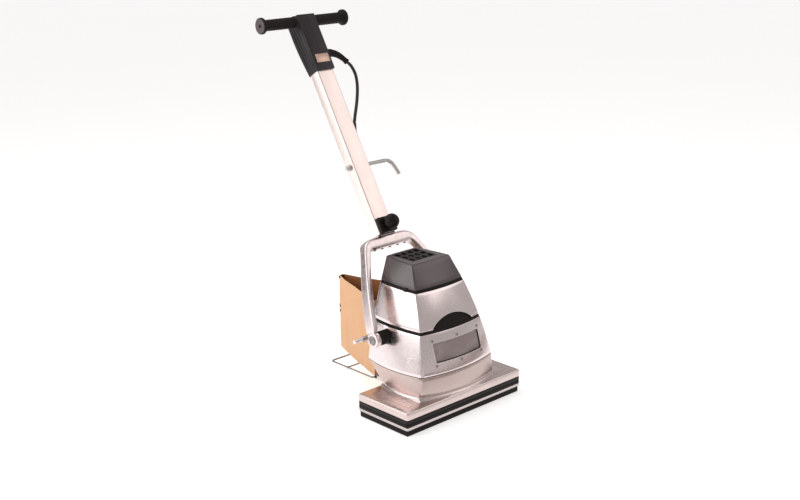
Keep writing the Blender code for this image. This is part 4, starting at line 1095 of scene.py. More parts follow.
@dataclass
class Body(Assembly):
    """Pressed casings, their gaskets, the window, the finger notch and the motor cap."""

    plan: BodyPlan
    wall: float = 0.0025
    skirt_low: float = 0.0809
    skirt_top: float = 0.135
    seam_low: float = 0.245
    seam_top: float = 0.253
    band_low: float = 0.349
    band_top: float = 0.357
    cap_top: float = 0.419
    window_half: float = 0.088
    sill: float = 0.167
    head: float = 0.219
    notch_flare: float = 0.088
    notch_rise: float = 0.031
    vent_width: float = 0.094
    vent_depth: float = 0.086
    vent_columns: int = 4
    vent_rows: int = 3

    def build(self) -> None:
        """Builds and dresses the body."""
        dress = self.dress
        dress(self.shell("skirt_pressing", self.skirt_low + 0.0006, self.skirt_top - 0.0008, 5), "base",
                "skirt", "cast_alloy", "skirt_casing")
        self.build_lower()
        self.build_upper()
        for name, low, high, inset, node in (
                ("seam_gasket_strip", self.seam_low, self.seam_top, 0.0010, "seam_gasket"),
                ("cap_gasket_strip", self.band_low, self.band_top, 0.0005, "cap_gasket")):
            strip = self.shell(name, low + 0.0003, high - 0.0003, 2, inset, self.wall + 0.003, 0.0010)
            dress(strip, "base", "rubber", "rubber", node, smooth=50)
        # Near-black strips set inside the foot and casing joints: painted shadow in the seams' gaps.
        for name, z in (("foot_joint", self.skirt_low), ("casing_joint", self.skirt_top)):
            joint = self.shell(name, z - 0.0022, z + 0.0022, 1, 0.0011, self.wall - 0.0002, 0.0004)
            dress(joint, "base", "shadow", "rubber")
        self.build_clips()
        self.build_window()
        self.build_notch_liner()
        self.build_cap()

    def shell(self, name: str, low: float, high: float, levels: int, inset: float = 0.0,
              wall: float | None = None, roll: float = 0.0007) -> Piece:
        """Open shell of the body between two heights, with rolled edges.

        Args:
            name: the piece's name.
            low: its lower edge.
            high: its upper edge.
            levels: rings between its edges.
            inset: how far it stands inside the body's outline.
            wall: its thickness.
            roll: radius of its edges.

        Returns:
            The new object.
        """
        wall = self.wall if wall is None else wall
        rings = [self.plan.ring(low, inset + roll), self.plan.ring(low + roll * 0.3, inset + roll * 0.3)]
        for step in range(levels + 1):
            rings.append(self.plan.ring(low + roll + (high - low - 2 * roll) * step / levels, inset))
        rings += [self.plan.ring(high - roll * 0.3, inset + roll * 0.3), self.plan.ring(high, inset + roll),
                  self.plan.ring(high, inset + wall), self.plan.ring(low, inset + wall)]
        return lofted(name, rings, closed=True)

    def screw_places(self) -> list[tuple[float, float]]:
        """Where the window's six screws go, as x and z on the front face.

        Returns:
            Six pairs.
        """
        margin = 0.0075
        return [(x, z) for z in (self.sill - margin, self.head + margin)
                for x in (-self.window_half, 0.0, self.window_half)]

    def build_lower(self) -> None:
        """Window casing with its opening, the holes in its sides and the window's six slotted screws."""
        lower = self.shell("window_casing", self.skirt_top + 0.0009, self.seam_low, 14)
        opening = block("opening", (-self.window_half, MACHINE_Y - 0.17, self.sill),
                        (self.window_half, MACHINE_Y - 0.02, self.head), 0.004, 4)
        bosses = turned("bosses", [(0.0203, -0.2), (0.0203, 0.2)], Axis.RIGHT.laid(PIVOT), 48)
        guide = turned("guide", [(0.0083, 0.1), (0.0083, 0.2)],
                       Axis.LEFT.laid((0, middle_of("plunger_guide").y, middle_of("plunger_guide").z)))
        outlet = turned("outlet", [(0.0243, -0.02), (0.0243, 0.02)],
                        Axis.BACK.laid((0, MACHINE_Y + 0.152, middle_of("bag_outlet").z)), 40)
        cut(lower, opening, bosses, guide, outlet)
        self.dress(lower, "base", "stainless", "stainless", "lower_casing", smooth=30)
        for number, (x, z) in enumerate(self.screw_places(), 1):
            place = self.plan.front_frame(x, z)
            head = turned("head", [(0.0018, -0.009), (0.0018, 0.0), (0.0038, 0.0001), (0.0039, 0.0007),
                                   (0.0034, 0.0016), (0.0018, 0.0021), (0.0, 0.0022)], None, 28)
            cut(head, block("slot", (-0.005, -0.00045, 0.0011), (0.005, 0.00045, 0.004)))
            head.name = head.data.name = f"window_slotted_screw_{number}"
            spin = Matrix.Rotation(math.radians(37 * number), 4, "Z")
            self.dress(fixed(head, place @ spin), "base", "bolt", "steel", f"window_screw_{number}")

    def build_upper(self) -> None:
        """Upper casing with the arched notch in its front."""
        upper = self.shell("upper_pressing", self.seam_top, self.band_low, 12)
        below = self.seam_top - 0.01
        columns = [self.notch_flare * (k / 40 - 1) for k in range(81)]
        outline = [(x, self.arch(x)) for x in columns] + [(columns[-1], below), (columns[0], below)]
        tool = lofted("arch", [[Vector((x, MACHINE_Y + y, z)) for x, z in outline] for y in (-0.13, 0.0)])
        cut(upper, tool)
        self.dress(upper, "base", "stainless", "stainless", "upper_casing", smooth=30)

    def arch(self, x: float) -> float:
        """Upper edge of the finger notch: a round arch that runs out into the seam in short fillets.

        Args:
            x: place across the front.

        Returns:
            The edge's height.
        """
        reach = min(1.0, abs(x) / self.notch_flare)
        dome = math.sqrt(max(0.0, 1 - (reach / 0.86) ** 2)) * 0.45 + 0.55 * max(0.0, 1 - (reach / 0.86) ** 2)
        fillet = 0.10 * (1 - reach) ** 2 / (0.14 + (1 - reach) ** 2) if reach > 0.0 else 0.10
        return self.seam_top - 0.0003 + self.notch_rise * dome * 0.95 + self.notch_rise * fillet * 0.5

    def sheet(self, name: str, half: float, low: float, top: Callable[[float], float], depth: float,
              wall: float) -> Piece:
        """Curved sheet behind the front face.

        Args:
            name: the piece's name.
            half: half its width.
            low: its lower edge.
            top: gives its upper edge at each x.
            depth: how far behind the face it lies.
            wall: its thickness.

        Returns:
            The new object.
        """
        rings = []
        columns, rows = 40, 6
        for step in range(columns + 1):
            x = -half + 2 * half * step / columns
            levels = [low + (top(x) - low) * k / rows for k in range(rows + 1)]
            rings.append([self.plan.front_point(x, z, depth) for z in levels]
                         + [self.plan.front_point(x, z, depth + wall) for z in reversed(levels)])
        return lofted(name, rings)

    def build_window(self) -> None:
        """Smoked pane, and the dark rubber seal that shows round its edge."""
        lap = 0.012
        pane = self.sheet("smoked_window", self.window_half + lap, self.sill - lap, lambda x: self.head + lap,
                          self.wall + 0.0016, 0.003)
        self.dress(rounded(pane, 0.0006), "base", "pane", "smoked", "window_panel")
        seal = []
        for along_edge in rectangle(self.window_half - 0.0004, (self.head - self.sill) / 2 - 0.0004, 0.0038,
                0.0, (0.0, 0.0), 6):
            seal.append((along_edge.x, (self.sill + self.head) / 2 + along_edge.y))
        dense = []
        for (x0, z0), (x1, z1) in zip(seal, seal[1:] + seal[:1]):
            steps = max(1, round(math.hypot(x1 - x0, z1 - z0) / 0.006))
            dense += [self.plan.front_point(x0 + (x1 - x0) * k / steps, z0 + (z1 - z0) * k / steps, 0.0026)
                      for k in range(steps)]
        self.dress(wire("window_seal", dense, 0.0011, True), "base", "rubber", "rubber")

    def build_notch_liner(self) -> None:
        """Black recess behind the finger notch, with a lip to pull on."""
        liner = self.sheet("finger_recess", self.notch_flare, self.seam_top + 0.0003,
                           lambda x: self.arch(x) + 0.004, self.wall + 0.0015, self.wall)
        self.dress(liner, "base", "black", "black_plastic", "finger_notch_liner")
        lip = [self.plan.front_point(x, self.arch(x) - 0.0010, 0.0026)
               for x in [self.notch_flare * 0.86 * (k / 30 - 1) for k in range(61)]]
        self.dress(wire("finger_recess_lip", lip, 0.0012), "base", "rubber", "rubber")

    def build_clips(self) -> None:
        """Small latch on each side of the cap's band, near the front corner."""
        z = (self.band_low + self.band_top) / 2
        for side in Side:
            latch = block("latch", (-0.0075, -0.0010, -0.0058), (0.0075, 0.0010, 0.0058), 0.0008)
            keeper = block("keeper", (-0.0030, -0.0019, -0.0034), (0.0030, -0.0008, 0.0034), 0.0005)
            clip = joined(f"cap_latch_{side.word}", latch, keeper)
            turn = Matrix.Rotation(math.radians(90 * side.value), 4, "Z")
            where = Matrix.Translation((side.value * 0.0965, MACHINE_Y + 0.042, z))
            self.dress(fixed(clip, where @ turn), "base", "black", "black_plastic")

    def build_cap(self) -> None:
        """Tapered cap, the vent panel let into its top, and the steel baffle with domes under the vents."""
        low, top, wall = self.band_top, self.cap_top, 0.003
        edge = 0.0022
        rings = [self.plan.ring(low, wall), self.plan.ring(low, 0.0012), self.plan.ring(low + 0.0004, 0.0003)]
        rings += [self.plan.ring(low + 0.0012 + (top - edge - low - 0.0012) * k / 6) for k in range(7)]
        rings += [self.plan.ring(top - edge * (1 - math.sin(a)), edge * (1 - math.cos(a)))
                  for a in arc(30, 90, 3)]
        rings += [self.plan.ring(top, edge * 2.0), self.plan.ring(top, 0.009),
                self.plan.ring(top, wall + 0.006, top - wall), self.plan.ring(top - wall, wall)]
        shell = lofted("cap", rings, closed=True)
        front = MACHINE_Y + self.plan.top.front + 0.024
        rear = front + self.vent_depth
        roof = lofted("roof", [self.plan.ring(top, 0.0088, z) for z in (top - wall, top)])
        well = block("well", (-0.0473, front - 0.0003, top - 0.02), (0.0473, rear + 0.0003, top + 0.02),
                0.002)
        cut(roof, well)
        cap = joined("tapered_cap", shell, roof)
        self.dress(cap, "base", "cap", "grey_plastic", "motor_cap", smooth=28)
        panel = block("vent_panel", (-0.047, front, top - 0.0045), (0.047, rear, top - 0.0007), 0.0010, 2)
        vents = [(self.vent_width * ((column + 0.5) / self.vent_columns - 0.5),
                  front + self.vent_depth * (row + 0.5) / self.vent_rows)
                 for row in range(self.vent_rows) for column in range(self.vent_columns)]
        rims = []
        for vent in vents:
            outline = [Vector((p.x, p.y, 0)) for p in rectangle(0.0072, 0.0086, 0.0045, 0.0, vent, 5)]
            cut(panel, lofted("slot", [[p + Vector((0, 0, z)) for p in outline]
                    for z in (top - 0.02, top + 0.02)]))
            rims.append(wire("rim", [p + Vector((0, 0, top - 0.0008)) for p in outline], 0.0009, True, 2))
        panel = joined("vent_panel", panel, *rims)
        self.dress(panel, "base", "black", "black_plastic", "vent_grille")
        baffle = block("vent_baffle", (-0.048, front - 0.002, top - 0.0125),
                (0.048, rear + 0.002, top - 0.0110), 0.0004)
        dome = [(0.0062, top - 0.0115), (0.0052, top - 0.0090), (0.0030, top - 0.0078), (0.0, top - 0.0074)]
        domes = [turned("dome", dome, Matrix.Translation((*vent, 0)), 24) for vent in vents]
        self.dress(joined("vent_baffle", baffle, *domes), "base", "steel", "steel")


# ---------------------------------------------------------------- yoke and its pivots

@dataclass
class Yoke(Assembly):
    """Cast yoke that carries the handle over the cap, its pivots and the lock plunger."""

    pivot_half: float = 0.180
    arm: float = 0.016
    paddle: float = 0.0215
    crossbar_low: float = 0.24061
    crossbar: float = 0.037
    crossbar_half: float = 0.080
    depth_low: float = 0.040
    depth_top: float = 0.030
    tube_depth: float = 0.038
    tube_back: float = 0.013

    def build(self) -> None:
        """Builds and dresses the yoke, its pivots and the plunger."""
        self.build_casting()
        for side in Side:
            self.build_pivot(side)
        self.build_plunger()

    def sections(self) -> list[tuple[Vector, Vector, float, float, float]]:
        """Sections from a paddle to the crossbar: middle, direction, thickness, depth and setback.

        Returns:
            The sections, from the paddle up.
        """
        found = []
        low, high, steps = 0.012, self.crossbar_low + 0.004, 8
        inward = self.crossbar_half + 0.011 - self.pivot_half
        for k in range(steps + 1):
            t = k / steps
            bend = inward * (0.68 * t + 0.32 * t * t) if k else -0.0005
            reach = self.pivot_half + bend
            slope = inward * (0.68 + 0.64 * t) / (high - low)
            direction = Vector((slope if k else 0.0, 0, 1)).normalized()
            depth = self.depth_low + (self.depth_top - self.depth_low) * t
            found.append((Vector((reach, 0, low + (high - low) * t)), direction, self.arm + 0.004 * t ** 6,
                    depth, 0.008 * t))
        top = self.crossbar_low + self.crossbar / 2
        found.append((Vector((self.crossbar_half + 0.0035, 0, top - 0.0055)), Vector((-0.6, 0, 0.8)), 0.0275,
                      self.tube_depth - 0.002, self.tube_back))
        found.append((Vector((self.crossbar_half - 0.010, 0, top - 0.0012)),
                Vector((-0.93, 0, 0.36)).normalized(), 0.0345, self.tube_depth, self.tube_back))
        found.append((Vector((self.crossbar_half - 0.026, 0, top)), Vector((-1, 0, 0)), self.crossbar,
                      self.tube_depth, self.tube_back))
        found.append((Vector((0.030, 0, top)), Vector((-1, 0, 0)), self.crossbar, self.tube_depth,
                self.tube_back))
        return found

    def section_ring(self, section: tuple, side: int) -> list[Vector]:
        """One section's outline, with round corners.

        Args:
            section: middle, direction, thickness, depth and setback.
            side: 1 for the right arm, -1 for the left.

        Returns:
            Its points in the handle's axes.
        """
        middle, direction, thickness, depth, setback = section
        outwards = Vector((direction.z, 0, -direction.x))
        corner = 0.26 * thickness
        ring = []
        for p in rectangle(thickness / 2, depth / 2, corner, 0.0, (0.0, 0.0), 4):
            point = middle + outwards * p.x + Vector((0, setback + p.y, 0))
            ring.append(Vector((side * point.x, point.y, point.z)))
        return ring

    def build_casting(self) -> None:
        """One casting: two arms with their paddles, the crossbar, its fixing bolts and the spigot."""
        sections = self.sections()
        right = [self.section_ring(section, 1) for section in sections]
        left = [self.section_ring(section, -1) for section in reversed(sections)]
        frame_shape = modified(lofted("yoke_casting", right + left), "SUBSURF", levels=1, render_levels=1)
        parts = [frame_shape]
        inner, outer = self.pivot_half - self.arm / 2, self.pivot_half + self.arm / 2
        radius = self.paddle
        for side in Side:
            parts.append(turned("paddle", [(0.0082, inner), (radius - 0.0022, inner),
                    (radius - 0.0006, inner + 0.0007), (radius, inner + 0.0024), (radius, outer - 0.0030),
                    (radius - 0.0008, outer - 0.0010), (radius - 0.0030, outer), (0.0135, outer),
                    (0.0125, outer - 0.0012), (0.0082, outer - 0.0012)], side.axis.laid(), 56, hollow=True))
        parts.append(block("spigot", (-0.0267, self.tube_back - 0.0157, TUBE_LOW - 0.004),
                           (0.0267, self.tube_back + 0.0157, TUBE_LOW + 0.160), 0.003))
        casting = fixed(joined("yoke_casting", *parts), HANDLE)
        self.dress(casting, "yoke", "casting", "cast_alloy", "yoke", smooth=40)
        bolts = []
        for x in (-0.058, -0.030, 0.0, 0.030, 0.058):
            head = turned("bolt", [(0.0040, 0.0), (0.0040, 0.0018), (0.0034, 0.0026), (0.0018, 0.0026),
                                   (0.0016, 0.0012), (0.0, 0.0012)], None, 24)
            bolts.append(fixed(head, Matrix.Translation((x, self.tube_back - 0.006,
                    self.crossbar_low + 0.0002)) @ Matrix.Rotation(math.pi, 4, "X")))
        bolts = fixed(joined("crossbar_bolts", *bolts), HANDLE)
        self.dress(bolts, "yoke", "bolt", "steel")
        collar = lofted("tube_collar", [
            rectangle(0.0294, 0.0184, 0.004, TUBE_LOW + z, (0.0, self.tube_back)) for z in (-0.0012, 0.0017)])
        self.dress(fixed(collar, HANDLE), "yoke", "rubber", "rubber")

    def build_pivot(self, side: Side) -> None:
        """Ribbed rubber boss on the casing, and the slotted screw that the arm turns on.

        Args:
            side: the side of the machine.
        """
        outer = self.pivot_half - self.arm / 2 - 0.0045
        place = side.axis.laid(PIVOT)
        low = 0.112
        profile: Profile = [(0.0074, low), (0.014, low), (0.0196, low)]
        count = 7
        for rib in range(count):
            start = low + 0.002 + (outer - 0.008 - low) * rib / count
            pitch = (outer - 0.008 - low) / count
            profile += [(0.0199, start), (0.0200, start + pitch * 0.12), (0.0200, start + pitch * 0.55),
                        (0.0186, start + pitch * 0.68), (0.0186, start + pitch * 0.9)]
        profile += [(0.0196, outer - 0.0058), (0.0190, outer - 0.0030), (0.0160, outer - 0.0006),
                (0.0140, outer), (0.0074, outer)]
        boss = turned(f"ribbed_boss_{side.word}", profile, place, 64, hollow=True)
        self.dress(boss, "base", "rubber", "rubber", f"pivot_boss_{side.word}", smooth=40)
        face = self.pivot_half + self.arm / 2 + 0.0008
        washer = turned("washer", [(0.0072, face - 0.0006), (0.0124, face - 0.0006), (0.0124, face + 0.0002),
                                   (0.0118, face + 0.0006), (0.0072, face + 0.0006)], None, 40, hollow=True)
        screw = turned("screw", [(0.0072, low), (0.0072, face), (0.0108, face + 0.0002),
                (0.0112, face + 0.0010), (0.0104, face + 0.0026), (0.0070, face + 0.0038),
                (0.0, face + 0.0040)], None, 40)
        cut(screw, block("slot", (-0.0009, -0.013, face + 0.0018), (0.0009, 0.013, face + 0.008)))
        screw = fixed(joined(f"slotted_pivot_{side.word}", screw, washer),
                      place @ Matrix.Rotation(math.radians(64), 4, "Z"))
        self.dress(screw, "base", "bolt", "steel", f"pivot_screw_{side.word}")

    def build_plunger(self) -> None:
        """Plated plunger with a grooved head, in its guide, which is finished as steel."""
        place = Axis.LEFT.laid((0, middle_of("plunger_guide").y, middle_of("plunger_guide").z))
        pin = turned("lock_pin", [(0.0, 0.114), (0.0053, 0.1143), (0.0055, 0.116), (0.0055, 0.1965),
                (0.0049, 0.1970), (0.0049, 0.1985), (0.0055, 0.1990), (0.0055, 0.2170), (0.0051, 0.2175),
                (0.0051, 0.2182), (0.0055, 0.2187), (0.0053, 0.2208), (0.0042, 0.2218), (0.0, 0.2220)],
                place, 40)
        self.dress(pin, "plunger", "chrome", "steel", "lock_plunger")
        guide = turned("lock_guide", [(0.0058, 0.118), (0.0080, 0.118), (0.0080, 0.186), (0.0076, 0.1864),
                (0.0076, 0.1874), (0.0080, 0.1878), (0.0080, 0.1948), (0.0072, 0.1958), (0.0058, 0.1960)],
                place, 8, hollow=True)
        self.dress(rounded(guide, 0.0004), "base", "steel", "black_plastic", "plunger_guide")


# ---------------------------------------------------------------- handle

@dataclass
class Handle(Assembly):
    """Tube, clamp, cord hook, switch housing, grips and the handle cord."""

    tube_half: float = 0.030
    tube_half_depth: float = 0.019
    tube_back: float = 0.013
    tube_front: float = 0.006
    tube_length: float = 0.625
    housing_half: float = 0.033
    housing_low: float = 0.513
    housing_height: float = 0.179
    bar_rise: float = 0.677
    bar_back: float = 0.010
    grip_half: float = 0.1585
    hook_rise: float = 0.215
    hook_reach: float = 0.092
    switch_back: float = 0.028
    cord_radius: float = 0.0048
    boot_route: tuple = ((0.0334, 0.002, 0.566), (0.050, 0.002, 0.566), (0.070, 0.002, 0.559),
                         (0.086, 0.002, 0.546), (0.098, 0.002, 0.531))
    cord_route: tuple = ((0.0983, 0.002, 0.5306), (0.1055, 0.002, 0.5216), (0.1100, 0.002, 0.508),
                         (0.1115, 0.002, 0.490), (0.1085, 0.003, 0.470), (0.1015, 0.004, 0.448),
                         (0.0915, 0.005, 0.426), (0.0805, 0.007, 0.404), (0.070, 0.009, 0.385),
                         (0.0605, 0.0105, 0.369), (0.0525, 0.0109, 0.3555), (0.0455, 0.0112, 0.3436))
    gland: tuple = ((0.026, 0.012, 0.3105), (0.0453, 0.0112, 0.3432))

    def lifted(self, route: tuple) -> list[Vector]:
        """A route's points, moved from the foot of the tube to their place in the machine."""
        return [HANDLE @ Vector((x, y, TUBE_LOW + z)) for x, y, z in route]

    def build(self) -> None:
        """Builds and dresses the handle."""
        self.build_cord()
        self.build_tube()
        self.build_clamp()
        self.build_hook()
        self.build_housing()
        self.build_plate()
        self.build_switch()
        for side in Side:
            self.build_grip(side)
        self.wardrobe.dress_node("handle_bar", "steel")

    def build_cord(self) -> None:
        """Cord from the housing's boot down to the gland in the tube's side."""
        points = curve_through(self.lifted(self.cord_route), self.cord_radius * 1.6)
        cord = line("grip_cord", points, self.cord_radius, sides=5)
        cord.data.materials.append(self.wardrobe.get("cord"))
        self.dress(cord, "handle", "cord", "rubber", "handle_cord")
        self.build_boot()
        base, tip = self.lifted(self.gland)
        reach = (tip - base).length
        turn = Matrix.Translation(base) @ (tip - base).to_track_quat("Z", "Y").to_matrix().to_4x4()
        profile: Profile = [(0.0100, 0.0), (0.0100, reach * 0.34), (0.0094, reach * 0.40)]
        for rib in range(3):
            start = reach * (0.46 + 0.17 * rib)
            profile += [(0.0088 - 0.0009 * rib, start), (0.0080 - 0.0009 * rib, start + 0.0010),
                        (0.0080 - 0.0009 * rib, start + 0.0030), (0.0086 - 0.0009 * rib, start + 0.0040)]
        profile += [(0.0060, reach), (0.0, reach)]
        gland = turned("cord_entry_gland", profile, turn, 40)
        self.dress(gland, "handle", "rubber", "rubber", "cord_gland")

    def build_boot(self) -> None:
        """Curved boot, ribbed across and lipped at its end."""
        route = curve_through(self.lifted(self.boot_route), 0.0016)
        total = len(route) - 1
        rings, reference = [], None
        for k, point in enumerate(route):
            tangent = (route[min(k + 1, total)] - route[max(k - 1, 0)]).normalized()
            if reference is None:
                reference = tangent.orthogonal().normalized()
            reference = (reference - tangent * reference.dot(tangent)).normalized()
            across = tangent.cross(reference)
            t = k / total
            radius = 0.0130 - 0.0056 * t ** 0.9
            if 0.22 < t < 0.86:
                radius -= 0.0009 * (0.5 - 0.5 * math.cos(2 * math.pi * (t - 0.22) / 0.08))
            if t > 0.93:
                radius += 0.0014
            rings.append([point + radius * (reference * math.cos(a) + across * math.sin(a))
                          for a in arc(0, 360 - 360 / 28, 27)])
        boot = lofted("ribbed_cord_boot", rings)
        self.dress(boot, "handle", "rubber", "rubber", "cord_boot", smooth=60)

    def build_tube(self) -> None:
        """Drawn tube with soft corners, bored across for the hook's rod."""
        low = TUBE_LOW + 0.002
        high = low + self.tube_length
        wall = 0.003
        middle = (0.0, self.tube_back)

        def ring(inset: float, z: float) -> list[Vector]:
            """Section of the tube, moved inwards."""
            return rectangle(self.tube_half - inset, self.tube_half_depth - inset,
                    0.0042 - min(inset, 0.0032), z, middle, 6)

        rings = [ring(0.0006, low), ring(0.0, low + 0.0006)]
        rings += [ring(0.0, low + 0.001 + (high - low - 0.002) * k / 12) for k in range(13)]
        rings += [ring(0.0, high - 0.0006), ring(0.0006, high), ring(wall, high), ring(wall, low)]
        tube = lofted("drawn_tube", rings, closed=True)
        bore = turned("bore", [(0.0063, -0.1), (0.0063, 0.1)], Axis.RIGHT.laid((0, self.tube_back,
                TUBE_LOW + self.hook_rise)))
        self.dress(fixed(cut(tube, bore), HANDLE), "handle", "tube", "aluminium", "handle_tube", smooth=30)

    def build_clamp(self) -> None:
        """Clamp block with moulded ribs, and its round knob."""
        low = TUBE_LOW + 0.002
        front = -self.tube_front - 0.0003
        shape = block("clamp", (-0.030, front - 0.014, low), (0.030, front, low + 0.046), 0.0022, 4)
        ribs = [block("rib", (x - 0.0012, front - 0.0146, low + 0.004),
                (x + 0.0012, front - 0.012, low + 0.042), 0.0004) for x in (-0.026, -0.022, 0.022, 0.026)]
        clamp = fixed(joined("clamp_moulding", shape, *ribs), HANDLE)
        self.dress(clamp, "handle", "black", "black_plastic", "clamp_block")
        face = -front + 0.014 + 0.0008
        radius, stem = 0.022, 0.010
        middle = face + math.sqrt(radius ** 2 - stem ** 2)
        profile: Profile = [(0.004, 0.0035), (0.004, face), (stem, face)]
        first = math.degrees(math.asin(stem / radius))
        for angle in arc(first, 180, 24)[1:]:
            flat = 0.0012 if math.degrees(angle) > 168 else 0.0
            profile.append((radius * math.sin(angle), middle - radius * math.cos(angle) - flat))
        knob = turned("ball_knob", profile, HANDLE @ Axis.FRONT.laid((0, 0, low + 0.023)), 56)
        self.dress(knob, "knob", "black", "black_plastic", "clamp_knob", smooth=60)

    def build_hook(self) -> None:
        """Plated rod hook through the tube, with a washer and a domed nut on its left end."""
        centre = (0.0, self.tube_back, TUBE_LOW + self.hook_rise)
        half = self.tube_half
        elbow = half + self.hook_reach
        route = [Vector(p) for p in ((-half - 0.004, 0, 0), (0.0, 0, 0), (elbow - 0.016, 0, 0),
                (elbow - 0.006, 0, -0.0015), (elbow + 0.003, 0, -0.007), (elbow + 0.009, 0, -0.016),
                (elbow + 0.014, 0, -0.031), (elbow + 0.019, 0, -0.049))]
        rod = wire("rod", curve_through(route, 0.003), 0.0060, sides=6)
        rod = rounded(rod, 0.0008, 2, 60)
        washer = turned("washer", [(0.0062, half + 0.0008), (0.0098, half + 0.0008), (0.0100, half + 0.0012),
                                   (0.0100, half + 0.0024), (0.0062, half + 0.0028)], Axis.LEFT.laid(), 40)
        nut = turned("nut", [(0.0088, half + 0.0028), (0.0088, half + 0.0085), (0.0070, half + 0.0090)],
                     Axis.LEFT.laid(), 6)
        nut = rounded(nut, 0.0008, 2, 25)
        dome = turned("dome", [(0.0072, half + 0.0085)] + [(0.0072 * math.cos(a),
                half + 0.0090 + 0.0058 * math.sin(a)) for a in arc(0, 90, 8)], Axis.LEFT.laid(), 40)
        hook = fixed(joined("rod_hook", rod, washer, nut, dome), HANDLE @ Matrix.Translation(centre))
        self.dress(hook, "hook", "steel", "steel", "cord_hook")

    def outline(self, inset: float) -> list[tuple[float, float]]:
        """Side outline of the housing as (behind, up) points, moved inwards.

        Args:
            inset: distance inwards.

        Returns:
            The points in order.
        """
        low = TUBE_LOW + self.housing_low + inset
        high = TUBE_LOW + self.housing_low + self.housing_height - inset
        front, rear = -(self.tube_front + 0.008) + inset, 0.036 - inset
        points = [(front, low + 0.002), (front, low + (high - low) * 0.5), (front, high - 0.0045),
                  (front + 0.0012, high - 0.0014), (front + 0.0045, high)]
        top = rear + 0.012 - 0.006
        points += [(front + (top - front) * 0.5, high), (top - 0.003, high), (top + 0.0015, high - 0.0012)]
        steps = 18
        for k in range(steps, -1, -1):
            t = k / steps * 0.94
            swell = 0.012 * math.sin(math.pi / 2 * min(1.0, t / 0.72))
            points.append((rear + swell, low + (high - low) * t))
        points += [(rear - 0.001, low), (front + (rear - front) * 0.5, low), (front + 0.002, low)]
        return points

    def build_housing(self) -> None:
        """Housing with a flat front, a swelling back, long ribs on its sides and bolted halves."""
        half = self.housing_half
        rings = []
        for x, inset in ((half, 0.0034), (half - 0.0005, 0.0018), (half - 0.0018, 0.0005),
                (half - 0.0034, 0.0), (0.0004, 0.0), (0.0003, 0.0005), (-0.0003, 0.0005), (-0.0004, 0.0),
                (-half + 0.0034, 0.0), (-half + 0.0018, 0.0005), (-half + 0.0005, 0.0018), (-half, 0.0034)):
            rings.append([Vector((x, y, z)) for y, z in self.outline(inset)])
        shell = lofted("housing", rings)
        low = TUBE_LOW + self.housing_low
        high = low + self.housing_height
        pocket = block("pocket", (-0.0158, 0.0182, high - 0.0095), (0.0158, 0.0378, high + 0.01), 0.001)
        cut(shell, pocket)
        parts = [shell]
        for side in Side:
            for number, place in enumerate((0.12, 0.36, 0.60, 0.84)):
                route = []
                for k in range(15):
                    t = 0.04 + 0.84 * k / 14
                    rear = 0.036 + 0.012 * math.sin(math.pi / 2 * min(1.0, t / 0.72))
                    back = -0.012 + (rear + 0.010) * place
                    route.append(Vector((side.value * (half - 0.0002), back, low + self.housing_height * t)))
                parts.append(wire(f"rib_{number}", route, 0.0013, sides=2))
            for back, up in ((0.000, 0.022), (0.028, 0.150)):
                parts.append(turned("boss", [(0.0040, half - 0.001), (0.0040, half + 0.0003),
                        (0.0034, half + 0.0007), (0.0020, half + 0.0007), (0.0018, half - 0.0004),
                        (0.0, half - 0.0004)], side.axis.laid((0, back, low + up)), 24))
            parts.append(turned("collar", [(0.0135, half - 0.002), (0.0186, half - 0.002),
                    (0.0186, half + 0.0002), (0.0180, half + 0.0010), (0.0170, half + 0.0014),
                    (0.0135, half + 0.0014)], side.axis.laid((0, self.bar_back, TUBE_LOW + self.bar_rise)),
                    48, hollow=True))
        bezel = wire("bezel", [Vector((p.x, p.y + self.switch_back, high))
                for p in rectangle(0.0168, 0.0108, 0.003, 0.0)], 0.0010, True, 2)
        housing = fixed(joined("ribbed_housing", *parts, bezel), HANDLE)
        self.dress(housing, "handle", "housing", "grey_plastic", "switch_housing", smooth=32)

    def build_plate(self) -> None:
        """Blank metal plate with a raised border and four rivets."""
        front = -(self.tube_front + 0.008) - 0.0003
        up = TUBE_LOW + self.housing_low + 0.036
        sheet = block("sheet", (-0.024, front - 0.0010, up - 0.013), (0.024, front, up + 0.013), 0.0004, 2)
        border = wire("border", [Vector((p.x, front - 0.0010, up + p.y))
                for p in rectangle(0.0222, 0.0112, 0.002, 0.0)], 0.0005, True, 2)
        panel = block("panel", (-0.0190, front - 0.0013, up - 0.0082),
                (0.0190, front - 0.0008, up + 0.0082), 0.0002, 2)
        rivets = [turned("rivet", [(0.0011, 0.0), (0.0010, 0.0004), (0.0, 0.0006)],
                         Axis.FRONT.laid((x, front - 0.0010, up + z)), 16)
                  for x in (-0.0205, 0.0205) for z in (-0.0097, 0.0097)]
        plate = fixed(joined("blank_rating_plate", sheet, border, panel, *rivets), HANDLE)
        self.dress(plate, "handle", "rating", "aluminium", "rating_plate")

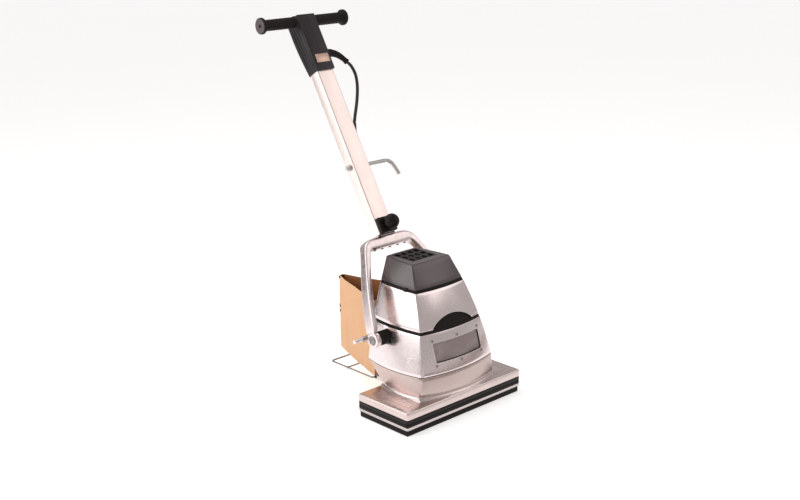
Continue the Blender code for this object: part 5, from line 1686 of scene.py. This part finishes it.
    def build_switch(self) -> None:
        """Rocker with a dished top and a raised bar at one end."""
        high = TUBE_LOW + self.housing_low + self.housing_height
        rings = []
        for y, inset in ((-0.009, 0.0008), (-0.0083, 0.0), (0.0083, 0.0), (0.009, 0.0008)):
            outline = [(-0.013, -0.0035), (0.0, -0.0045), (0.013, -0.0035), (0.015 - inset, 0.006),
                       (0.0142 - inset, 0.0074 - inset), (0.013, 0.0080 - inset)]
            outline += [(x, 0.0065 + 0.0015 * (x / 0.013) ** 2 - inset) for x in
                        [0.013 - 0.026 * k / 8 for k in range(1, 8)]]
            outline += [(-0.013, 0.0080 - inset), (-0.0142 + inset, 0.0074 - inset), (-0.015 + inset, 0.006)]
            rings.append([Vector((x, y, z)) for x, z in outline])
        rocker = lofted("rocker", rings)
        marks = [block("mark", (-0.0112, -0.004, 0.0070), (-0.0100, 0.004, 0.0079), 0.0002),
                 wire("ring_mark", [Vector((0.0100 + 0.0024 * math.cos(a), 0.0024 * math.sin(a), 0.0075))
                                    for a in arc(0, 345, 23)], 0.0004, True, 1)]
        place = HANDLE @ Matrix.Translation((0, self.switch_back, high - 0.001))
        rocker = fixed(joined("dished_rocker", rocker, *marks), place)
        self.dress(rocker, "switch", "black", "black_plastic", "switch_rocker")

    def build_grip(self, side: Side) -> None:
        """Rubber grip with fine rings, a flange and a lighter grey end face.

        Args:
            side: the side of the machine.
        """
        start, end = self.housing_half + 0.0018, self.grip_half
        place = HANDLE @ side.axis.laid((0, self.bar_back, TUBE_LOW + self.bar_rise))
        profile: Profile = [(0.0113, end - 0.0067), (0.0113, start), (0.0158, start),
                (0.0165, start + 0.0008)]
        first, last = start + 0.006, end - 0.022
        count = 13
        for rib in range(count):
            z = first + (last - first) * rib / count
            pitch = (last - first) / count
            profile += [(0.0165, z), (0.0159, z + pitch * 0.12), (0.0159, z + pitch * 0.22),
                    (0.0165, z + pitch * 0.34)]
        profile += [(0.0165, end - 0.018), (0.0172, end - 0.0145), (0.0195, end - 0.0118),
                (0.0228, end - 0.0102), (0.0238, end - 0.0088), (0.0240, end - 0.0070),
                (0.0240, end - 0.0036), (0.0234, end - 0.0016), (0.0215, end - 0.0006), (0.0, end - 0.0006)]
        grip = turned(f"ringed_grip_{side.word}", profile, place, 56)
        self.dress(grip, "handle", "rubber", "rubber", f"grip_{side.word}", smooth=45)
        face = turned(f"grip_end_{side.word}", [(0.0205, end - 0.0012), (0.0205, end - 0.0005),
                (0.0198, end - 0.0001), (0.0060, end), (0.0052, end - 0.0006), (0.0, end - 0.0007)], place,
                56)
        self.dress(face, "handle", "grip_face", "rubber")


# ---------------------------------------------------------------- bag and rack

@dataclass
class Rack(Assembly):
    """Wire rack on its bracket, with a torsion coil round each end of the hinge."""

    half: float = 0.110
    wire: float = 0.0025
    length: float = 0.183
    bar: float = 0.110
    hinge_y: float = 0.165
    z: float = 0.062

    def build(self) -> None:
        """Builds and dresses the rack and the bracket."""
        origin = Matrix.Translation((0, MACHINE_Y + self.hinge_y, self.z))
        bend = 0.009
        route = []
        for quarter, (sx, y) in enumerate(((1, self.length), (-1, self.length), (-1, 0.0), (1, 0.0))):
            middle = Vector((sx * (self.half - bend), y - (1 if y else -1) * bend, 0))
            route += [middle + bend * Vector((math.cos(a), math.sin(a), 0))
                    for a in arc(90 * quarter, 90 * quarter + 90, 6)]
        hoop = wire("hoop", route, self.wire, True, 4, origin)
        cross = wire("cross", [Vector((x, self.bar, 0.0)) for x in (-self.half, -0.04, 0.04, self.half)],
                0.0023, sides=4, place=origin)
        parts = [hoop, cross]
        for side in Side:
            ball = turned("weld", [(0.0, -0.0042), (0.0030, -0.0032), (0.0038, 0.0), (0.0030, 0.0032),
                    (0.0, 0.0042)], origin @ Matrix.Translation((side.value * self.half, self.bar, 0)), 20)
            parts.append(ball)
            start = side.value * 0.086
            coil = [Vector((start - side.value * 0.0024 * a / (2 * math.pi), 0.0036 * math.cos(a),
                    0.0036 * math.sin(a))) for a in arc(0, 360 * 5, 90)]
            parts.append(wire("coil", coil, 0.0010, sides=2, place=origin))
        rack = joined("bag_rack_wires", *parts)
        self.dress(rack, "rack", "bolt", "steel", "bag_rack", smooth=50)
        self.build_bracket()

    def build_bracket(self) -> None:
        """Folded steel bracket behind the base, with two eyes and its fixing screws."""
        wall = MACHINE_Y + 0.099 + 0.0003
        plate = block("plate", (-0.107, wall, 0.0486), (0.107, wall + 0.003, self.z + 0.006), 0.0009, 2)
        parts = [plate]
        for side in Side:
            x = side.value * 0.095
            arm = block("arm", (x - 0.005, wall + 0.001, self.z - 0.006),
                        (x + 0.005, MACHINE_Y + self.hinge_y + 0.002, self.z + 0.0055), 0.0008, 2)
            eye = turned("eye", [(0.0029, x - 0.005), (0.0058, x - 0.005), (0.0058, x + 0.005),
                    (0.0029, x + 0.005)], Axis.RIGHT.laid((0, MACHINE_Y + self.hinge_y, self.z)), 28,
                    hollow=True)
            cut(arm, turned("bore", [(0.0029, x - 0.02), (0.0029, x + 0.02)],
                            Axis.RIGHT.laid((0, MACHINE_Y + self.hinge_y, self.z)), 28))
            parts += [arm, eye]
            for place in (0.028, 0.064):
                parts.append(turned("bolt", [(0.0044, 0.0), (0.0044, 0.0020), (0.0036, 0.0030),
                        (0.0, 0.0030)], Axis.BACK.laid((side.value * place, wall + 0.003, 0.0585)), 6))
        self.dress(joined("folded_bracket", *parts), "base", "steel", "steel", "rack_bracket")


@dataclass
class Bag(Assembly):
    """Open kraft bag: a wide mouth at the machine, pinched to a narrow edge behind."""

    x: float = -0.018
    front: float = 0.158
    half: float = 0.091
    length: float = 0.247
    rear_half: float = 0.006
    low: float = 0.0695
    height: float = 0.228
    paper: float = 0.0009

    def outline(self, level: float) -> list[Vector]:
        """Plan of the bag at one level, from 0 at its foot to 1 at its mouth.

        Args:
            level: how far up the bag.

        Returns:
            Its points in the machine, creased and gently bowed.
        """
        front, rear = self.front + 0.0004, self.front + self.length - 0.0004
        half, narrow = self.half - 0.0006, self.rear_half - 0.0004
        z = self.low + self.height * level
        points = []
        edges = (((-half, front), (half, front), 24), ((half, front), (narrow, rear), 40),
                 ((narrow, rear), (-narrow, rear), 4), ((-narrow, rear), (-half, front), 40))
        for index, (start, end, steps) in enumerate(edges):
            start, end = Vector(start), Vector(end)
            out = Vector((end.y - start.y, start.x - end.x)).normalized()
            for step in range(steps):
                t = step / steps
                bow = 0.0
                if index in (1, 3):
                    bow = 0.0035 * 4 * t * (1 - t) * (1 - 0.35 * level)
                    place = t if index == 1 else 1 - t
                    for crease, width, depth in ((0.30, 0.018, 0.0019), (0.52, 0.014, 0.0013),
                            (0.74, 0.016, 0.0018), (0.90, 0.012, 0.0010)):
                        drift = crease + 0.012 * math.sin(5.0 * level + 9.0 * crease)
                        bow -= depth * math.exp(-((place - drift) / width) ** 2)
                    bow += 0.0009 * math.sin(17.0 * place + 4.0 * level) * math.sin(7.0 * level + index)
                elif index == 0:
                    bow = -0.0010 * math.sin(math.pi * t) * level
                point = start.lerp(end, t) + out * bow
                tip = 0.0
                if level > 0.98:
                    tip = -0.0010 - 0.0012 * math.sin(9.0 * t + 2.0 * index)
                points.append(Vector((self.x + point.x, MACHINE_Y + point.y, z + tip)))
        return points

    def build(self) -> None:
        """Builds and dresses the bag, its reinforced mouth and its clips."""
        rows = 30
        rings = [self.outline(k / rows) for k in range(rows + 1)]
        deselect()
        bag = lofted("kraft_bag", rings, capped=False)
        focus(bag)
        bpy.ops.object.mode_set(mode="EDIT")
        bpy.ops.mesh.select_all(action="DESELECT")
        bpy.ops.object.mode_set(mode="OBJECT")
        for vertex in bag.data.vertices:
            vertex.select = vertex.co.z < self.low + 1e-5
        bpy.ops.object.mode_set(mode="EDIT")
        bpy.ops.mesh.edge_face_add()
        bpy.ops.mesh.select_all(action="SELECT")
        bpy.ops.mesh.normals_make_consistent(inside=False)
        bpy.ops.object.mode_set(mode="OBJECT")
        bag.data.materials.append(self.wardrobe.get("paper"))
        # The second material, on the inner faces that the solidify adds, is the darker paper: painted shade
        # inside the bag.
        bag.data.materials.append(self.wardrobe.get("painted_shade_paper"))
        modified(bag, "SOLIDIFY", thickness=self.paper, offset=-1.0, material_offset=1)
        outlet = middle_of("bag_outlet")
        cut(bag, turned("mouth", [(0.0252, -0.02), (0.0252, 0.02)],
                        Axis.BACK.laid((0, MACHINE_Y + self.front, outlet.z)), 48))
        self.dress(bag, "bag", "paper", "kraft", "paper_bag", smooth=50)
        # The mouth card takes the same darker paper: painted shade.
        card = turned("bag_card", [(0.0256, -0.0008), (0.0360, -0.0008), (0.0364, 0.0), (0.0256, 0.0)],
                      Axis.BACK.laid((0, MACHINE_Y + self.front, outlet.z)), 56, hollow=True)
        self.dress(card, "bag", "painted_shade_paper", "kraft")
        rear = MACHINE_Y + self.front + self.length
        top = self.low + self.height
        clips = []
        for z, tall in ((top - 0.007, 0.004), (top - 0.096, 0.006), (top - 0.112, 0.004)):
            clips.append(block("clip", (self.x - 0.0074, rear - 0.0075, z - tall),
                    (self.x + 0.0074, rear + 0.0006, z + tall), 0.0006, 2))
        self.dress(joined("bag_clips", *clips), "bag", "black", "kraft")


# ---------------------------------------------------------------- drive

@dataclass
class Drive(Assembly):
    """Brushes, gearbox, motors and fan."""

    brush_radius: float = 0.029

    def build(self) -> None:
        """Builds the tufted brushes and dresses the carried-over nodes."""
        for end in ("front", "rear"):
            for side in Side:
                self.build_brush(end, side)
        finishes = {"gearbox_housing": "casting", "end_plate_left": "steel", "end_plate_right": "steel",
                    "brush_shaft_front": "steel", "brush_shaft_rear": "steel", "brush_motor_shell": "steel",
                    "brush_motor_rotor": "bronze", "fan_housing": "casting", "vacuum_motor_shell": "steel",
                    "vacuum_rotor": "copper", "suction_fan": "trim"}
        for node, finish in finishes.items():
            self.wardrobe.dress_node(node, finish)
        self.build_outlet()

    def build_brush(self, end: str, side: Side) -> None:
        """One roll: a core with rows of tufts that wind along it.

        Args:
            end: front or rear.
            side: left or right.
        """
        node = f"brush_{end}_{side.word}"
        low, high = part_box(node)
        axis = Vector((0, (low.y + high.y) / 2, (low.z + high.z) / 2))
        near, far = sorted((abs(low.x), abs(high.x)))
        core = self.brush_radius - 0.016
        place = side.axis.laid(axis)
        parts = [turned("core", [(0.0053, near), (core, near), (core, far), (0.0053, far)], place, 32,
                hollow=True)]
        rows, tufts = 6, 22
        tuft = turned("tuft", [(0.0016, core - 0.001), (0.0019, core + 0.007),
                (0.0029, self.brush_radius - 0.0006), (0.0016, self.brush_radius - 0.0001)], None, 6)
        for row in range(rows):
            for step in range(tufts):
                reach = near + 0.004 + (far - near - 0.008) * step / (tufts - 1)
                turn = Matrix.Rotation(2 * math.pi * row / rows + 1.5 * step / tufts, 4, "Z")
                stand = Matrix.Translation((0, 0, reach)) @ turn @ Matrix.Rotation(math.pi / 2, 4, "Y")
                parts.append(copied(tuft, "tuft", place @ stand))
        bpy.data.objects.remove(tuft, do_unlink=True)
        roll = joined(f"tufted_{node}", *parts)
        self.dress(roll, f"brush_{end}", "bristle", "bristle", node)

    def build_outlet(self) -> None:
        """Black outlet with a rolled lip, which the bag slides over."""
        low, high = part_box("bag_outlet")
        place = Axis.BACK.laid((0, 0, (low.z + high.z) / 2))
        tube = turned("lipped_outlet", [
            (0.0210, low.y), (0.0240, low.y), (0.0240, high.y - 0.0070), (0.0234, high.y - 0.0060),
            (0.0234, high.y - 0.0040), (0.0240, high.y - 0.0030), (0.0238, high.y - 0.0008), (0.0225, high.y),
            (0.0212, high.y - 0.0008), (0.0210, high.y - 0.0020)], place, 48, hollow=True)
        self.dress(tube, "base", "black", "black_plastic", "bag_outlet")


# ---------------------------------------------------------------- studio

@dataclass
class Studio(Assembly):
    """Camera, floor and lights."""

    lens: float = 56.4
    rise: float = -0.03125
    stands_at: Colour = (-2.33325, -2.5855, 1.4510)
    looks_at: Colour = (-0.06705, -0.16315, 0.52265)
    roll: float = -0.63
    floor_half: float = 30.0
    sensor: float = 36.0
    sky: Colour = (1.0, 0.955, 0.945)
    sky_strength: float = 0.50

    def build(self) -> None:
        """Sets up the camera, the floor, the world and the lights."""
        scene = bpy.context.scene
        data = bpy.data.cameras.new("camera")
        data.lens, data.sensor_width, data.shift_y = self.lens, self.sensor, self.rise
        camera = bpy.data.objects.new("camera", data)
        scene.collection.objects.link(camera)
        towards = (Vector(self.looks_at) - Vector(self.stands_at)).to_track_quat("-Z", "Y")
        camera.matrix_world = (Matrix.Translation(self.stands_at) @ towards.to_matrix().to_4x4()
                               @ Matrix.Rotation(math.radians(self.roll), 4, "Z"))
        scene.camera = camera
        scene.view_settings.view_transform = "Standard"
        deselect()
        bpy.ops.mesh.primitive_plane_add(size=2 * self.floor_half, location=(0, 0, 0))
        floor = bpy.context.object
        floor.name = "floor"
        floor.data.materials.append(self.wardrobe.get("floor"))
        world = bpy.data.worlds.new("studio")
        scene.world = world
        world.use_nodes = True
        backdrop = world.node_tree.nodes["Background"]
        backdrop.inputs["Color"].default_value = (*self.sky, 1.0)
        backdrop.inputs["Strength"].default_value = self.sky_strength
        for name, place, size, power, colour in (
                ("left_softbox", (-2.35, 1.25, 1.45), (2.5, 2.0), 30.0, (1.0, 0.99, 0.985)),
                ("top_softbox", (-0.6, 0.8, 3.2), (2.2, 2.2), 26.0, (1.0, 0.99, 0.98)),
                ("front_softbox", (2.4, -2.1, 2.6), (2.6, 1.8), 14.0, (1.0, 0.94, 0.91))):
            self.add_light(name, place, size, power, colour)
        self.add_flag("rear_flag", (-0.85, 1.85, 0.9), (0.55, 1.9), "shadow")
        self.add_flag("floor_flag", (1.35, -1.75, 0.02), (3.2, 2.2), "toned_card", flat=True)

    def add_flag(self, name: str, place: Colour, size: tuple[float, float], finish: str,
                 flat: bool = False) -> None:
        """Adds a card that only shows in reflections, to give the metal its contrast.

        Args:
            name: the card's name.
            place: where it stands.
            size: its width and height.
            finish: its tone.
            flat: lays it on the floor.
        """
        deselect()
        bpy.ops.mesh.primitive_plane_add(size=1, location=(0, 0, 0))
        card = bpy.context.object
        card.name = name
        card.scale = (*size, 1.0)
        bpy.ops.object.transform_apply(location=True, rotation=True, scale=True)
        aim = (Vector((0, -0.15, place[2])) - Vector(place)).to_track_quat("Z", "Y").to_matrix().to_4x4()
        fixed(card, Matrix.Translation(place) @ (Matrix() if flat else aim))
        card.data.materials.append(self.wardrobe.get(finish))
        card.visible_camera = card.visible_diffuse = card.visible_shadow = False
        card.visible_transmission = card.visible_volume_scatter = False

    def add_light(self, name: str, place: Colour, size: tuple[float, float], power: float,
            colour: Colour) -> None:
        """Adds one soft light that points at the machine.

        Args:
            name: the light's name.
            place: where it stands.
            size: its width and height.
            power: its power in watts.
            colour: its colour.
        """
        data = bpy.data.lights.new(name, "AREA")
        data.shape, data.size, data.size_y = "RECTANGLE", *size
        data.energy, data.color = power, colour
        light = bpy.data.objects.new(name, data)
        bpy.context.scene.collection.objects.link(light)
        aim = (Vector((0, -0.15, 0.4)) - Vector(place)).to_track_quat("-Z", "Y")
        light.matrix_world = Matrix.Translation(place) @ aim.to_matrix().to_4x4()


def main() -> None:
    """Builds every class in order."""
    logging.basicConfig(level=logging.INFO, format="%(message)s", stream=sys.stdout)
    wardrobe = Wardrobe()
    plan = BodyPlan()
    for part in (Studio(wardrobe), Handle(wardrobe), Base(wardrobe, plan), Body(wardrobe, plan),
            Yoke(wardrobe), Rack(wardrobe), Bag(wardrobe), Drive(wardrobe)):
        part.build()
        LOG.info("%s is built", type(part).__name__)


if __name__ == "__main__":
    main()
